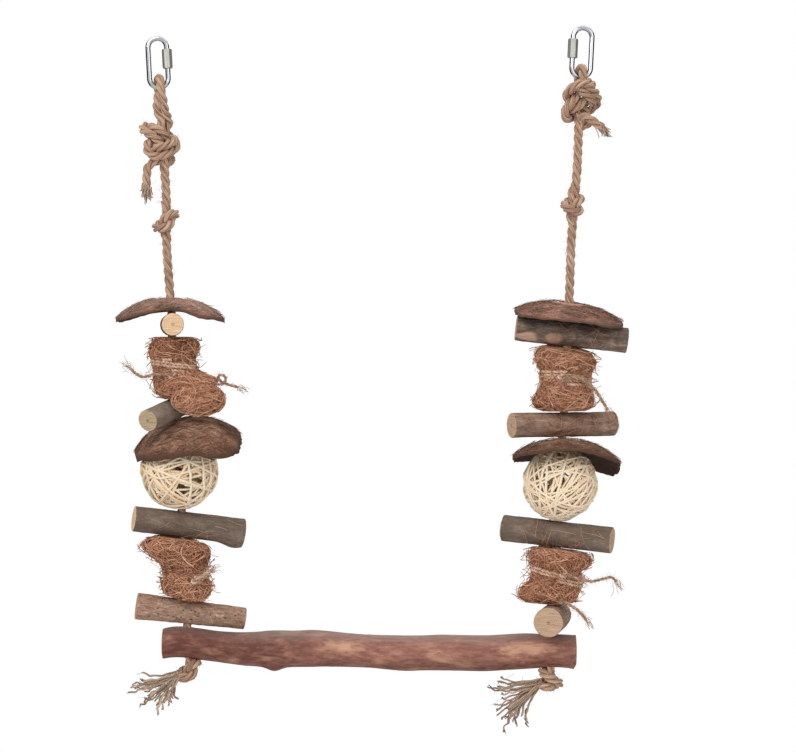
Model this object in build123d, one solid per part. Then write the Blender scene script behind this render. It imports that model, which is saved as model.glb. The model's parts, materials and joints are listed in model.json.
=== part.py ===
"""Hanging bird swing: a bark perch slung on two laid ropes. Each rope is strung with drilled sticks, pieces
of coconut shell, a woven vine ball and tied bundles of coir, and hangs from a screw link.

Millimetres. X runs along the perch, Y away from the front and Z up. The origin lies midway between the two
places where the hooks bear, inside the tops of the links.
"""

from build123d import *
from dataclasses import dataclass
from functools import cache
from math import acos, asin, atan2, cos, degrees, pi, radians, sin, sqrt, tan
import os

# Hanging points and ropes
HANG_SPACING = 319.5  # between the two hooks
HOOK_STEP = 7.8  # the right hook stands this much higher than the left one
LEFT_ROPE = 418.0  # from the link's bow to the perch's axis
RIGHT_ROPE = 431.3
ROPE_DIAMETER = 7.0
TWINE_DIAMETER = 2.2
YARN_DIAMETER = 2.0
YARN_PITCH = 1.2  # between two yarns at the fringe's root

# Vine balls
LEFT_BALL = 30.0  # radius
RIGHT_BALL = 29.2
LEFT_HOLLOW = 23.0  # how much larger the radius of the shell over the ball is, so that it can hang tilted
RIGHT_HOLLOW = 32.8
VINE_WALL = 2.4
VINE_BAND = 6.0

# Coir bundles: shares of a bundle's length at which it is fullest, and of its radius where its ends draw in
COIR_LOW_BELLY = 0.24
COIR_HIGH_BELLY = 0.78
COIR_END_RADIUS = 0.72

# Screw links
LINK_LENGTH = 41.0  # over the outside
LINK_WIDTH = 18.0
LINK_WIRE = 4.0
LINK_GATE = 4.2  # opening that the nut closes
NUT_LENGTH = 14.5
NUT_FLATS = 6.6
NUT_GRIP = 1.6  # thread that the closed nut covers past the gate
NUT_CHAMFER = 0.6
NUT_STANDOFF = 1.5  # from the closed nut's top to where the bow starts

# Perch
PERCH_LENGTH = 309.0
LEFT_INSET = 19.0  # from the perch's left end to the left hole
RIGHT_INSET = 18.0
PERCH_LEFT_RADIUS = 11.6  # round the left hole
PERCH_RIGHT_RADIUS = 13.0  # round the right hole
# Radius, and bow up from the straight axis, of the sections between the holes, evenly spaced along the perch
PERCH_SECTIONS = (
    (12.6, -2.6),
    (13.8, -2.0),
    (13.4, -1.6),
    (12.8, -2.4),
    (13.3, -2.7),
    (13.7, -2.4),
    (13.7, -1.7),
)
KNOB_RADIUS = 7.0  # the stub of a twig under the perch
KNOB_REACH = 18.8  # from the straight axis to the knob's tip
KNOB_PLACE = 84.0  # from the perch's left end

# Clearances
SEAT = 0.4  # between two pieces that rest on each other
BORE_PLAY = 0.5  # between the rope and a drilled hole, beyond what the tilt needs
COIR_PLAY = 0.3  # between the rope and the coir tied round it
NUT_PLAY = 0.06  # between the nut and the thread, on the radius
EYE_PLAY = 0.3  # between the rope's eye and the link's wire
PIVOT_GAP = 2.0  # between the rope's two ends where it bends inside the lower coir
TIE_PLAY = 0.3  # between the twine and the coir under it
TURN_GAP = 0.6  # between two turns of the twine

# Rounding
STICK_CHAMFER = 0.8

FIT_STEP = 0.01  # how closely the bottom stick is let down to its seat
PATH_STEP = 0.8  # between two points at which a wound path is measured
CROSSWISE = 45  # yaw past which a stick lies front to back under a shell

ROPE_RADIUS = ROPE_DIAMETER / 2
TWINE_RADIUS = TWINE_DIAMETER / 2
BOW_RADIUS = (LINK_WIDTH - LINK_WIRE) / 2  # of the wire's centre line
LEG_HALF = (LINK_LENGTH - LINK_WIDTH) / 2  # half of a link's straight leg
HOOK_TO_BOW = LINK_LENGTH - 1.5 * LINK_WIRE  # from the hook's seat to the lower bow's centre line
NUT_TOP = LEG_HALF - NUT_STANDOFF
GATE_TOP = NUT_TOP - NUT_GRIP
GATE_BOTTOM = GATE_TOP - LINK_GATE
NUT_TRAVEL = NUT_GRIP + LINK_GATE
HOOP_SLANT = degrees(atan2(2, 1))  # between the level hoop and each of the other five


@dataclass
class Stick:
    """A drilled length of branch. Roll lowers its right end, pitch its front, and yaw swings its front end
    left. Its middle lies off its hole by the shift, along its length."""

    length: float
    radius: float
    roll: float = 0.0
    pitch: float = 0.0
    yaw: float = 0.0
    shift: float = 0.0


@dataclass
class Shell:
    """A dished piece of coconut, drilled at its crown. Reach and depth are half its size along X and Y, and
    its outline's middle lies off the hole by the shift, along X."""

    radius: float
    wall: float
    reach: float
    depth: float
    roll: float = 0.0
    pitch: float = 0.0
    yaw: float = 0.0
    shift: float = 0.0


@dataclass
class Coir:
    """A bundle of coconut fibre, tied in at the waist. Shifts move its sections sideways off the rope."""

    length: float
    top_radius: float
    waist_radius: float
    bottom_radius: float
    waist_share: float = 0.5
    top_shift: float = 0.0
    waist_shift: float = 0.0
    bottom_shift: float = 0.0


@dataclass
class Tie:
    """Twine wound round a coir bundle's waist, with the lengths of its two loose ends."""

    turns: int
    left_end: float
    right_end: float


@dataclass
class Knot:
    """A knot drawn as rope turns round a core: its height, the radius of the turns' centre lines, their
    number and how far they lean."""

    height: float
    ring: float
    turns: int
    lean: float


@dataclass
class Side:
    """Everything strung on one rope, from the perch up."""

    name: str
    sign: int
    rope: float
    perch_radius: float
    bottom_stick: Stick
    lower_coir: Coir
    lower_tie: Tie
    lower_stick: Stick
    ball_radius: float
    lower_shell: Shell
    middle_stick: Stick
    upper_coir: Coir
    upper_tie: Tie
    top_stick: Stick
    upper_shell: Shell
    stop_knot: Knot
    stop_gap: float  # bare rope between the upper shell's crown and the stop knot
    top_knot: Knot
    eye: float  # from the link's bow down to the knot
    tail_angle: float  # of the rope's loose end, degrees from straight down towards +X
    tail: float
    bottom_knot: Knot
    fringe: tuple  # reach of each yarn, and its angle from straight down towards -X


LEFT = Side(
    name="left",
    sign=-1,
    rope=LEFT_ROPE,
    perch_radius=PERCH_LEFT_RADIUS,
    bottom_stick=Stick(length=82, radius=8.9, roll=8, yaw=10, shift=3),
    lower_coir=Coir(
        length=46,
        top_radius=23.5,
        waist_radius=16,
        bottom_radius=18,
        waist_share=0.45,
        top_shift=-3,
        waist_shift=1,
    ),
    lower_tie=Tie(turns=3, left_end=14, right_end=0),
    lower_stick=Stick(length=84, radius=9.8, roll=8, yaw=15, shift=5),
    ball_radius=LEFT_BALL,
    lower_shell=Shell(
        radius=LEFT_BALL + LEFT_HOLLOW,
        wall=4.2,
        reach=40,
        depth=34,
        roll=-14,
        pitch=9,
        shift=3.4,
    ),
    middle_stick=Stick(length=80, radius=8.3, roll=-10, pitch=10, yaw=62),
    upper_coir=Coir(
        length=44.5,
        top_radius=19,
        waist_radius=15.5,
        bottom_radius=24,
        waist_share=0.52,
        top_shift=1,
        bottom_shift=9,
    ),
    upper_tie=Tie(turns=3, left_end=34, right_end=38),
    top_stick=Stick(length=80, radius=8.5, pitch=1, yaw=97),
    upper_shell=Shell(radius=62, wall=3.2, reach=40.5, depth=30.5, pitch=1),
    stop_knot=Knot(height=21, ring=5.0, turns=2, lean=24),
    stop_gap=46.6,
    top_knot=Knot(height=27, ring=7.7, turns=3, lean=12),
    eye=26,
    tail_angle=-14,
    tail=27,
    bottom_knot=Knot(height=13.5, ring=6.6, turns=1, lean=8),
    fringe=((38, 86), (40, 77), (41, 68), (40, 59), (38, 50), (33, 41), (34, 28), (30, 17), (24, 4)),
)
RIGHT = Side(
    name="right",
    sign=1,
    rope=RIGHT_ROPE,
    perch_radius=PERCH_RIGHT_RADIUS,
    bottom_stick=Stick(length=80, radius=11.0, pitch=-2, yaw=81),
    lower_coir=Coir(
        length=41.5,
        top_radius=23.5,
        waist_radius=18,
        bottom_radius=21,
        top_shift=4,
        waist_shift=1,
        bottom_shift=-3,
    ),
    lower_tie=Tie(turns=2, left_end=0, right_end=44),
    lower_stick=Stick(length=84, radius=10.1, roll=5.5, yaw=-17),
    ball_radius=RIGHT_BALL,
    lower_shell=Shell(radius=RIGHT_BALL + RIGHT_HOLLOW, wall=3.2, reach=40.5, depth=34, pitch=-8, shift=2.9),
    middle_stick=Stick(length=84, radius=9.4, roll=-0.5, yaw=20),
    upper_coir=Coir(length=48.2, top_radius=22, waist_radius=17.5, bottom_radius=22, waist_share=0.52),
    upper_tie=Tie(turns=3, left_end=0, right_end=30),
    top_stick=Stick(length=84, radius=9.7, roll=6.4, pitch=8, shift=3),
    upper_shell=Shell(radius=92, wall=3.2, reach=40.8, depth=34, roll=6.4, pitch=8, shift=0.8),
    stop_knot=Knot(height=20, ring=5.1, turns=2, lean=-14),
    stop_gap=63.3,
    top_knot=Knot(height=29, ring=7.9, turns=3, lean=-16),
    eye=4,
    tail_angle=52,
    tail=26,
    bottom_knot=Knot(height=13, ring=5.4, turns=1, lean=-10),
    fringe=((40, 88), (42, 80), (38, 72), (41, 63), (43, 54), (44, 46), (46, 38), (40, 30), (36, 20)),
)


def turned(roll=0.0, pitch=0.0, yaw=0.0):
    """A piece's own turn: yaw about its hole, then pitch, then roll."""
    return Rotation(0, roll, 0) * Rotation(pitch, 0, 0) * Rotation(0, 0, yaw)


def axis_of(piece):
    """The direction of a strung piece's hole, pointing up."""
    return (turned(piece.roll, piece.pitch) * Pos(0, 0, 1)).position


class Strand:
    """One rope: the hook above it, the bow of its link, its foot on the perch and the line between them."""

    def __init__(self, hook, foot, side):
        self.side = side
        self.hook = hook
        self.foot = foot
        self.up = (hook - foot).normalized()
        self.lean = degrees(atan2(self.up.X, self.up.Z))
        self.bow = hook - self.up * HOOK_TO_BOW

    def point(self, height):
        """The rope's point at a height above the perch's axis."""
        return self.foot + self.up * height

    def at(self, height):
        """A frame on the rope, with Z along it."""
        return Pos(*self.point(height)) * Rotation(0, self.lean, 0)

    def strung(self, height, piece):
        """The frame of a strung piece."""
        return Pos(*self.point(height)) * turned(piece.roll, piece.pitch, piece.yaw)

    def slope(self, piece):
        """The cosine of the angle between the rope and a piece's hole."""
        return self.up.dot(axis_of(piece))


def hang():
    """The two strands: the left rope leans in by half of what the ropes draw together, and the right one
    ends where its length and the perch's meet."""
    hooks = [Vector(s * HANG_SPACING / 2, 0, s * HOOK_STEP / 2) for s in (-1, 1)]
    drops = [HOOK_TO_BOW + LEFT_ROPE, HOOK_TO_BOW + RIGHT_ROPE]
    span = PERCH_LENGTH - LEFT_INSET - RIGHT_INSET
    inward = (HANG_SPACING - span) / 2
    left_foot = hooks[0] + Vector(inward, 0, -sqrt(drops[0] ** 2 - inward**2))
    across = hooks[1] - left_foot
    along = (span**2 - drops[1] ** 2 + across.length**2) / (2 * across.length)
    aside = sqrt(span**2 - along**2)
    unit = across.normalized()
    right_foot = left_foot + unit * along + Vector(unit.Z, 0, -unit.X) * aside
    return Strand(hooks[0], left_foot, LEFT), Strand(hooks[1], right_foot, RIGHT)


def inner_drop(shell, half_span):
    """How far a shell's inside falls from its crown to a half span."""
    inside = shell.radius - shell.wall
    return inside - sqrt(inside**2 - half_span**2)


def nest(strand, shell, ball_radius):
    """How far a ball's centre lies below a shell's crown, along the rope, with the ball up in the shell."""
    free = shell.radius - shell.wall - ball_radius - SEAT
    half = shell.radius * strand.slope(shell)
    return half - sqrt(half**2 - shell.radius**2 + free**2)


def stick_on_shell(strand, stick, shell):
    """How far a stick's centre lies above the crown of the shell that it rests on, along the rope."""
    tilt = axis_of(shell).dot(axis_of(stick))
    return (shell.radius * (1 - tilt) + stick.radius + SEAT) / strand.slope(stick)


def stick_under_ball(strand, stick, ball_radius):
    """How far a stick's centre lies below the ball that rests on it, along the rope. The ball stands on the
    edge of its lower window."""
    tilt = acos(strand.slope(stick))
    edge = pi / 2 - radians(HOOP_SLANT) - asin(VINE_BAND / 2 / ball_radius)
    return (ball_radius * cos(edge - tilt) + stick.radius + SEAT) / cos(tilt)


def shell_on_stick(shell, stick):
    """How far a shell's crown lies above the stick that its rim bears on, along the rope."""
    half_span = shell.depth if stick.yaw > CROSSWISE else shell.reach + abs(shell.shift)
    tipped = half_span * tan(acos(axis_of(shell).dot(axis_of(stick))))
    return stick.radius + SEAT + tipped + inner_drop(shell, half_span) + shell.wall


def stick_on_perch(strand):
    """The height of the bottom stick's centre, let down until the disc that it sweeps rests on the perch."""
    stick = strand.side.bottom_stick
    disc = Cylinder(stick.length / 2 + abs(stick.shift), 2 * stick.radius)
    height = strand.side.perch_radius + 2 * stick.radius
    gap = stick.radius
    while abs(gap - SEAT) > FIT_STEP:
        gap = (strand.strung(height, stick) * disc).distance_to(perch())
        height -= gap - SEAT
    return height


@cache
def stack(strand):
    """The height of every strung piece above the perch's axis, worked up from the perch."""
    side = strand.side
    heights = {"bottom_stick": stick_on_perch(strand)}
    heights["lower_coir"] = heights["bottom_stick"] + side.bottom_stick.radius + SEAT
    heights["lower_stick"] = heights["lower_coir"] + side.lower_coir.length + SEAT + side.lower_stick.radius
    under_ball = stick_under_ball(strand, side.lower_stick, side.ball_radius)
    heights["vine_ball"] = heights["lower_stick"] + under_ball
    heights["lower_shell"] = heights["vine_ball"] + nest(strand, side.lower_shell, side.ball_radius)
    on_shell = stick_on_shell(strand, side.middle_stick, side.lower_shell)
    heights["middle_stick"] = heights["lower_shell"] + on_shell
    heights["upper_coir"] = heights["middle_stick"] + side.middle_stick.radius + SEAT
    heights["top_stick"] = heights["upper_coir"] + side.upper_coir.length + SEAT + side.top_stick.radius
    heights["upper_shell"] = heights["top_stick"] + shell_on_stick(side.upper_shell, side.top_stick)
    return heights


def lower_bend(strand):
    """The height at which the rope bends inside the lower coir, at its waist."""
    coir = strand.side.lower_coir
    return stack(strand)["lower_coir"] + coir.length * coir.waist_share


def upper_bend(strand):
    """The height at which the rope bends under the top knot."""
    side = strand.side
    return side.rope - side.eye - side.top_knot.height - ROPE_RADIUS - SEAT


def bore_radius(strand, piece, half_height):
    """The radius of a drilled hole that lets the rope through at the piece's tilt."""
    tilt = sqrt(1 - strand.slope(piece) ** 2) / strand.slope(piece)
    return ROPE_RADIUS / strand.slope(piece) + half_height * tilt + BORE_PLAY


def capsule(radius, low, high):
    """A rod along Z with rounded ends."""
    middle = rod(radius, low + radius, high - radius)
    return middle + Pos(0, 0, low + radius) * Sphere(radius) + Pos(0, 0, high - radius) * Sphere(radius)


def rod(radius, low, high):
    """A plain rod along Z."""
    return Pos(0, 0, (low + high) / 2) * Cylinder(radius, high - low)


def link_frame(strand):
    """The middle of a link, which hangs in line with its rope."""
    return strand.at(strand.side.rope + LINK_LENGTH / 2 - LINK_WIRE / 2)


def quick_link(strand):
    """Bent wire, open at the gate on the leg that carries the nut."""
    leg = -strand.side.sign * BOW_RADIUS
    path = Wire([
        Line((leg, 0, GATE_TOP), (leg, 0, LEG_HALF)),
        ThreePointArc((leg, 0, LEG_HALF), (0, 0, LEG_HALF + BOW_RADIUS), (-leg, 0, LEG_HALF)),
        Line((-leg, 0, LEG_HALF), (-leg, 0, -LEG_HALF)),
        ThreePointArc((-leg, 0, -LEG_HALF), (0, 0, -LEG_HALF - BOW_RADIUS), (leg, 0, -LEG_HALF)),
        Line((leg, 0, -LEG_HALF), (leg, 0, GATE_BOTTOM)),
    ])
    section = Plane(origin=(leg, 0, GATE_TOP), z_dir=(0, 0, 1)) * Circle(LINK_WIRE / 2)
    return link_frame(strand) * sweep(section, path=path)


def link_nut(strand):
    """A hexagon sleeve, chamfered at both ends, over the gate."""
    leg = -strand.side.sign * BOW_RADIUS
    corner = NUT_FLATS / 2 / cos(pi / 6)
    half = NUT_LENGTH / 2
    prism = extrude(RegularPolygon(corner, 6), amount=half, both=True)
    rim = corner - NUT_CHAMFER
    barrel_height = (corner + SEAT - rim) / NUT_CHAMFER
    outline = Polyline(
        (0, -half),
        (rim, -half),
        (corner + SEAT, -half + barrel_height * NUT_CHAMFER),
        (corner + SEAT, half - barrel_height * NUT_CHAMFER),
        (rim, half),
        (0, half),
        close=True,
    )
    turned_blank = revolve(Plane.XZ * make_face(outline), axis=Axis.Z)
    sleeve = (prism & turned_blank) - rod(LINK_WIRE / 2 + NUT_PLAY, -half, half)
    return link_frame(strand) * Pos(leg, 0, NUT_TOP - half) * sleeve


def knot(shape, bore):
    """Leaning rope turns, stacked up a core that the rope runs into. Its middle is at the origin."""
    step = (shape.height - ROPE_DIAMETER - 2 * shape.ring * abs(sin(radians(shape.lean)))) / shape.turns
    lump = rod(shape.ring, -shape.height / 2, shape.height / 2)
    for turn in range(shape.turns + 1):
        place = Pos(0, 0, (turn - shape.turns / 2) * step)
        lump += place * Rotation(0, shape.lean, 0) * Torus(shape.ring, ROPE_RADIUS)
    return lump - rod(bore, -shape.height, shape.height) if bore else lump


def top_knot_frame(strand):
    side = strand.side
    return strand.at(side.rope - side.eye - side.top_knot.height / 2)


def top_knot(strand):
    return top_knot_frame(strand) * knot(strand.side.top_knot, 0)


def largest(shape):
    """The main solid of a cut, without the slivers left in the hollows of what cut it."""
    return shape.solids().sort_by(SortBy.VOLUME)[-1]


def rope_eye(strand):
    """The loop of rope over the link's bow, down to the knot that closes it."""
    side = strand.side
    around = LINK_WIRE / 2 + EYE_PLAY + ROPE_RADIUS
    foot = -side.eye - side.top_knot.height / 2
    path = Wire([
        Line((0, -around, foot), (0, -around, 0)),
        ThreePointArc((0, -around, 0), (0, 0, around), (0, around, 0)),
        Line((0, around, 0), (0, around, foot)),
    ])
    loop = sweep(Plane(origin=(0, -around, foot), z_dir=(0, 0, 1)) * Circle(ROPE_RADIUS), path=path)
    return largest(strand.at(side.rope) * loop - top_knot(strand))


def top_tail(strand):
    """The rope's cut end, which leaves the knot at its lower edge."""
    side = strand.side
    start = Pos(0, 0, -side.top_knot.height / 2 + ROPE_RADIUS)
    outward = side.top_knot.ring * (1 if side.tail_angle > 0 else -1)
    end = start * Pos(outward, 0, 0) * Rotation(0, 180 - side.tail_angle, 0) * rod(ROPE_RADIUS, 0, side.tail)
    return largest(top_knot_frame(strand) * end - top_knot(strand))


def rope(strand):
    """The standing part, from under the top knot down through the strung pieces to the lower coir."""
    low = lower_bend(strand) + PIVOT_GAP / 2
    return strand.at(0) * capsule(ROPE_RADIUS, low, upper_bend(strand) + ROPE_RADIUS)


def stop_knot(strand):
    """An overhand knot a little way above the upper shell."""
    shape = strand.side.stop_knot
    height = stack(strand)["upper_shell"] + strand.side.stop_gap + shape.height / 2
    return strand.at(height) * knot(shape, ROPE_RADIUS)


def rope_end(strand):
    """The rope's last stretch, through the bottom stick and the perch into the bottom knot."""
    low = -strand.side.perch_radius - SEAT - strand.side.bottom_knot.height
    return strand.at(0) * capsule(ROPE_RADIUS, low, lower_bend(strand) - PIVOT_GAP / 2)


def bottom_knot_height(strand):
    return -strand.side.perch_radius - SEAT - strand.side.bottom_knot.height / 2


def bottom_knot(strand):
    """Drawn up tight under the perch."""
    lump = strand.at(bottom_knot_height(strand)) * knot(strand.side.bottom_knot, 0)
    return lump - rope_end(strand) - perch()


def fringe(strand):
    """The rope's unlaid end: yarns that fan out and down to the left of the bottom knot."""
    side = strand.side
    knot_middle = strand.point(bottom_knot_height(strand))
    root = knot_middle - Vector(side.bottom_knot.ring, 0, ROPE_RADIUS)
    mean = sum(angle for _, angle in side.fringe) / len(side.fringe)
    trunk = fall(mean)
    tuft = Pos(*root) * Sphere(ROPE_RADIUS)
    yarns = []
    for number, (reach, angle) in enumerate(side.fringe):
        aside = Vector(0, (number % 3 - 1) * YARN_PITCH, 0)
        spread = aside * (reach / ROPE_DIAMETER)
        tip = root + trunk * ROPE_DIAMETER + fall(angle) * reach + spread
        path = TangentArc(root + aside, tip, tangent=trunk)
        yarns.append(sweep(Plane(origin=path @ 0, z_dir=path % 0) * Circle(YARN_DIAMETER / 2), path=path))
    return largest(tuft + yarns - bottom_knot(strand) - rope_end(strand))


def fall(angle):
    """A direction turned by an angle from straight down towards -X."""
    return Vector(-sin(radians(angle)), 0, -cos(radians(angle)))


def stick(strand, height, shape):
    """A length of branch with its bark, drilled across."""
    branch = Pos(shape.shift, 0, 0) * Rotation(0, 90, 0) * Cylinder(shape.radius, shape.length)
    ends = branch.edges().filter_by(GeomType.CIRCLE)
    branch = chamfer(ends, STICK_CHAMFER)
    hole = rod(bore_radius(strand, shape, shape.radius), -2 * shape.radius, 2 * shape.radius)
    return strand.strung(height, shape) * (branch - hole)


def shell(strand, height, shape):
    """A dished piece with an oval outline: a wall between two spheres, with the crown at its height."""
    centre = Pos(0, 0, -shape.radius)
    wall = centre * (Sphere(shape.radius) - Sphere(shape.radius - shape.wall))
    oval = Pos(shape.shift, 0, 0) * Ellipse(shape.reach, shape.depth)
    outline = centre * extrude(oval, amount=2 * shape.radius)
    hole = rod(bore_radius(strand, shape, shape.wall), -shape.radius, shape.wall)
    return strand.strung(height, shape) * ((wall & outline) - hole)


def vine_ball(strand, height, radius):
    """Six hoops of vine plaited into a hollow ball, one level and five slanting. The rope runs through the
    windows at the top and the bottom."""
    outside = sqrt(radius**2 - (VINE_BAND / 2) ** 2)
    hoop = Cylinder(outside, VINE_BAND) - Cylinder(outside - VINE_WALL, VINE_BAND)
    ball = hoop
    for number in range(5):
        ball += Rotation(0, 0, 72 * number) * Rotation(0, HOOP_SLANT, 0) * hoop
    return strand.at(height) * ball


def slab(strand, height, piece):
    """The space that a stick sweeps as it turns about its hole, with a seat's clearance each side."""
    size = 3 * piece.length
    return strand.strung(height, piece) * Box(size, size, 2 * (piece.radius + SEAT))


def coir(strand, height, shape, below, above):
    """A bundle that swells above and below its waist, trimmed to the sticks below and above it."""
    spare = min(below[1].radius, above[1].radius)
    rows = [
        (-spare, shape.bottom_radius * COIR_END_RADIUS, shape.bottom_shift * COIR_END_RADIUS),
        (shape.length * COIR_LOW_BELLY, shape.bottom_radius, shape.bottom_shift),
        (shape.length * shape.waist_share, shape.waist_radius, shape.waist_shift),
        (shape.length * COIR_HIGH_BELLY, shape.top_radius, shape.top_shift),
        (shape.length + spare, shape.top_radius * COIR_END_RADIUS, shape.top_shift * COIR_END_RADIUS),
    ]
    bundle = loft([Pos(shift, 0, level) * Circle(radius) for level, radius, shift in rows])
    band = tie_height(3) + 2 * TWINE_DIAMETER
    waist = Pos(shape.waist_shift, 0, shape.length * shape.waist_share)
    wide = 3 * max(shape.top_radius, shape.bottom_radius)
    bundle -= waist * (Cylinder(wide, band) - Cylinder(shape.waist_radius, band))
    bundle -= rod(ROPE_RADIUS + COIR_PLAY, -shape.length, 2 * shape.length)
    bundle = strand.at(height) * bundle
    return bundle - slab(strand, *below) - slab(strand, *above)


def tie_height(turns):
    """From the first turn's middle to the last one's."""
    return turns * (TWINE_DIAMETER + TURN_GAP)


def biarc(start, start_way, end, end_way):
    """Two arcs that join two points and keep to the two directions."""
    chord = end - start
    ways = start_way + end_way
    bend = 1 - start_way.dot(end_way)
    along = chord.dot(ways)
    reach = (sqrt(along**2 + 2 * bend * chord.dot(chord)) - along) / (2 * bend)
    middle = (start + end + (start_way - end_way) * reach) * 0.5
    first = TangentArc(start, middle, tangent=start_way)
    second = TangentArc(middle, end, tangent=first % 1)
    return [first, second]


def tie(strand, height, shape, coir_shape):
    """Twine wound round the waist, a quarter turn at a time, with its two ends left loose at the front."""
    ring = coir_shape.waist_radius + TWINE_RADIUS + TIE_PLAY
    pitch = TWINE_DIAMETER + TURN_GAP
    quarters = 4 * shape.turns
    low = -tie_height(shape.turns) / 2

    def spot(quarter):
        angle = -pi / 2 + quarter * pi / 2
        return Vector(ring * cos(angle), ring * sin(angle), low + pitch * quarter / 4)

    def way(quarter):
        angle = -pi / 2 + quarter * pi / 2
        return Vector(-ring * sin(angle), ring * cos(angle), pitch / (2 * pi)).normalized()

    edges = []
    lead = max(shape.left_end, TWINE_DIAMETER)
    edges.append(Line(spot(0) - way(0) * lead, spot(0)))
    for quarter in range(quarters):
        edges += biarc(spot(quarter), way(quarter), spot(quarter + 1), way(quarter + 1))
    trail = max(shape.right_end, TWINE_DIAMETER)
    edges.append(Line(spot(quarters), spot(quarters) + way(quarters) * trail))
    path = Wire(edges)
    tube = sweep(Plane(origin=path @ 0, z_dir=path % 0) * Circle(TWINE_RADIUS), path=path)
    print(f"{strand.side.name} tie of {shape.turns} turns: least gap to itself {least_gap(path):.2f} mm")
    waist = height + coir_shape.length * coir_shape.waist_share
    return strand.at(waist) * Pos(coir_shape.waist_shift, 0, 0) * tube


def least_gap(path):
    """The smallest distance between two stretches of a wound tube, surface to surface."""
    count = int(path.length / PATH_STEP)
    points = [path @ (number / count) for number in range(count + 1)]
    apart = int(4 * TWINE_DIAMETER / PATH_STEP)
    nearest = min(
        (points[a] - points[b]).length for a in range(len(points)) for b in range(a + apart, len(points))
    )
    return nearest - TWINE_DIAMETER


@cache
def perch():
    """A bowed branch, sawn at both ends, with a hole for each rope."""
    left, right = strands
    along = (right.foot - left.foot).normalized()
    lift = Vector(-along.Z, 0, along.X)
    near_left = [(PERCH_LEFT_RADIUS, 0.0)] * 2
    near_right = [(PERCH_RIGHT_RADIUS, 0.0)] * 2
    rows = near_left + list(PERCH_SECTIONS) + near_right
    sections = []
    for number, (radius, bow) in enumerate(rows):
        far = PERCH_LENGTH * number / (len(rows) - 1) - LEFT_INSET
        middle = left.foot + along * far + lift * bow
        sections.append(Plane(origin=middle, x_dir=(0, 1, 0), z_dir=along) * Circle(radius))
    branch = loft(sections)
    tip = left.foot + along * (KNOB_PLACE - LEFT_INSET) - lift * KNOB_REACH
    branch += Pos(*(tip + lift * KNOB_RADIUS)) * Sphere(KNOB_RADIUS)
    for strand in strands:
        reach = 3 * strand.side.perch_radius
        branch -= strand.at(0) * rod(ROPE_RADIUS + BORE_PLAY, -reach, reach)
    return branch


def strung_parts(strand):
    """The nodes of one side, by name."""
    side = strand.side
    heights = stack(strand)
    bottom = (heights["bottom_stick"], side.bottom_stick)
    lower = (heights["lower_stick"], side.lower_stick)
    middle = (heights["middle_stick"], side.middle_stick)
    top = (heights["top_stick"], side.top_stick)
    return {
        "quick_link": quick_link(strand),
        "link_nut": link_nut(strand),
        "rope_eye": rope_eye(strand),
        "top_knot": top_knot(strand),
        "top_tail": top_tail(strand),
        "rope": rope(strand),
        "stop_knot": stop_knot(strand),
        "upper_shell": shell(strand, heights["upper_shell"], side.upper_shell),
        "top_stick": stick(strand, *top),
        "upper_coir": coir(strand, heights["upper_coir"], side.upper_coir, middle, top),
        "upper_tie": tie(strand, heights["upper_coir"], side.upper_tie, side.upper_coir),
        "middle_stick": stick(strand, *middle),
        "lower_shell": shell(strand, heights["lower_shell"], side.lower_shell),
        "vine_ball": vine_ball(strand, heights["vine_ball"], side.ball_radius),
        "lower_stick": stick(strand, *lower),
        "lower_coir": coir(strand, heights["lower_coir"], side.lower_coir, bottom, lower),
        "lower_tie": tie(strand, heights["lower_coir"], side.lower_tie, side.lower_coir),
        "bottom_stick": stick(strand, *bottom),
        "rope_end": rope_end(strand),
        "bottom_knot": bottom_knot(strand),
        "fringe": fringe(strand),
    }


strands = hang()


def main():
    os.makedirs("parts", exist_ok=True)
    nodes = {"perch": perch()}
    for strand in strands:
        for name, solid in strung_parts(strand).items():
            nodes[f"{strand.side.name}_{name}"] = solid
    for name, solid in nodes.items():
        export_step(solid, f"parts/{name}.step")


if __name__ == "__main__":
    main()
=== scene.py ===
"""A bird swing: two knotted ropes strung with husk shells, branch sticks, coir bundles and vine balls,
and a branch perch between their feet."""

import json
from math import cos, pi, radians, sin, sqrt

import bpy
import numpy as np
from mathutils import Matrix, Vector, noise
from mathutils.bvhtree import BVHTree


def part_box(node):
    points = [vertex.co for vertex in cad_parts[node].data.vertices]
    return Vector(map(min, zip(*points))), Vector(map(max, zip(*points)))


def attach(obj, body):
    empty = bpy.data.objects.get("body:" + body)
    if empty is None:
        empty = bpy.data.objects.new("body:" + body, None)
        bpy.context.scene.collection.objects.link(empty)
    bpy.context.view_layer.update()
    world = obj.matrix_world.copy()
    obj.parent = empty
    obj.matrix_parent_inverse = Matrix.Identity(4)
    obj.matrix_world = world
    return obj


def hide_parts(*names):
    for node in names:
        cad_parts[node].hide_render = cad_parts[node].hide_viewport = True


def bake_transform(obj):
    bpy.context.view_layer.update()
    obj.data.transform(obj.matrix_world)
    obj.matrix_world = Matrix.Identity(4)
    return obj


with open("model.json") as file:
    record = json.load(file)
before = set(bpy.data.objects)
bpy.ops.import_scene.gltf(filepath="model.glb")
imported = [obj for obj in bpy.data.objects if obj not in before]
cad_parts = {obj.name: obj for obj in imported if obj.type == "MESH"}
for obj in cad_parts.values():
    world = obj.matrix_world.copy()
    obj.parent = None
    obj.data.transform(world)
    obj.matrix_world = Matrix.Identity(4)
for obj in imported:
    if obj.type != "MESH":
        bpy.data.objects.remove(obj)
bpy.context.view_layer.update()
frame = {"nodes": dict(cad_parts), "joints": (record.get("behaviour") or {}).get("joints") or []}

MM = 0.001
CHANCE = np.random.default_rng(20)
JOINTS = {joint["name"]: joint for joint in frame["joints"]}
SIDES = ("left", "right")

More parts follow.
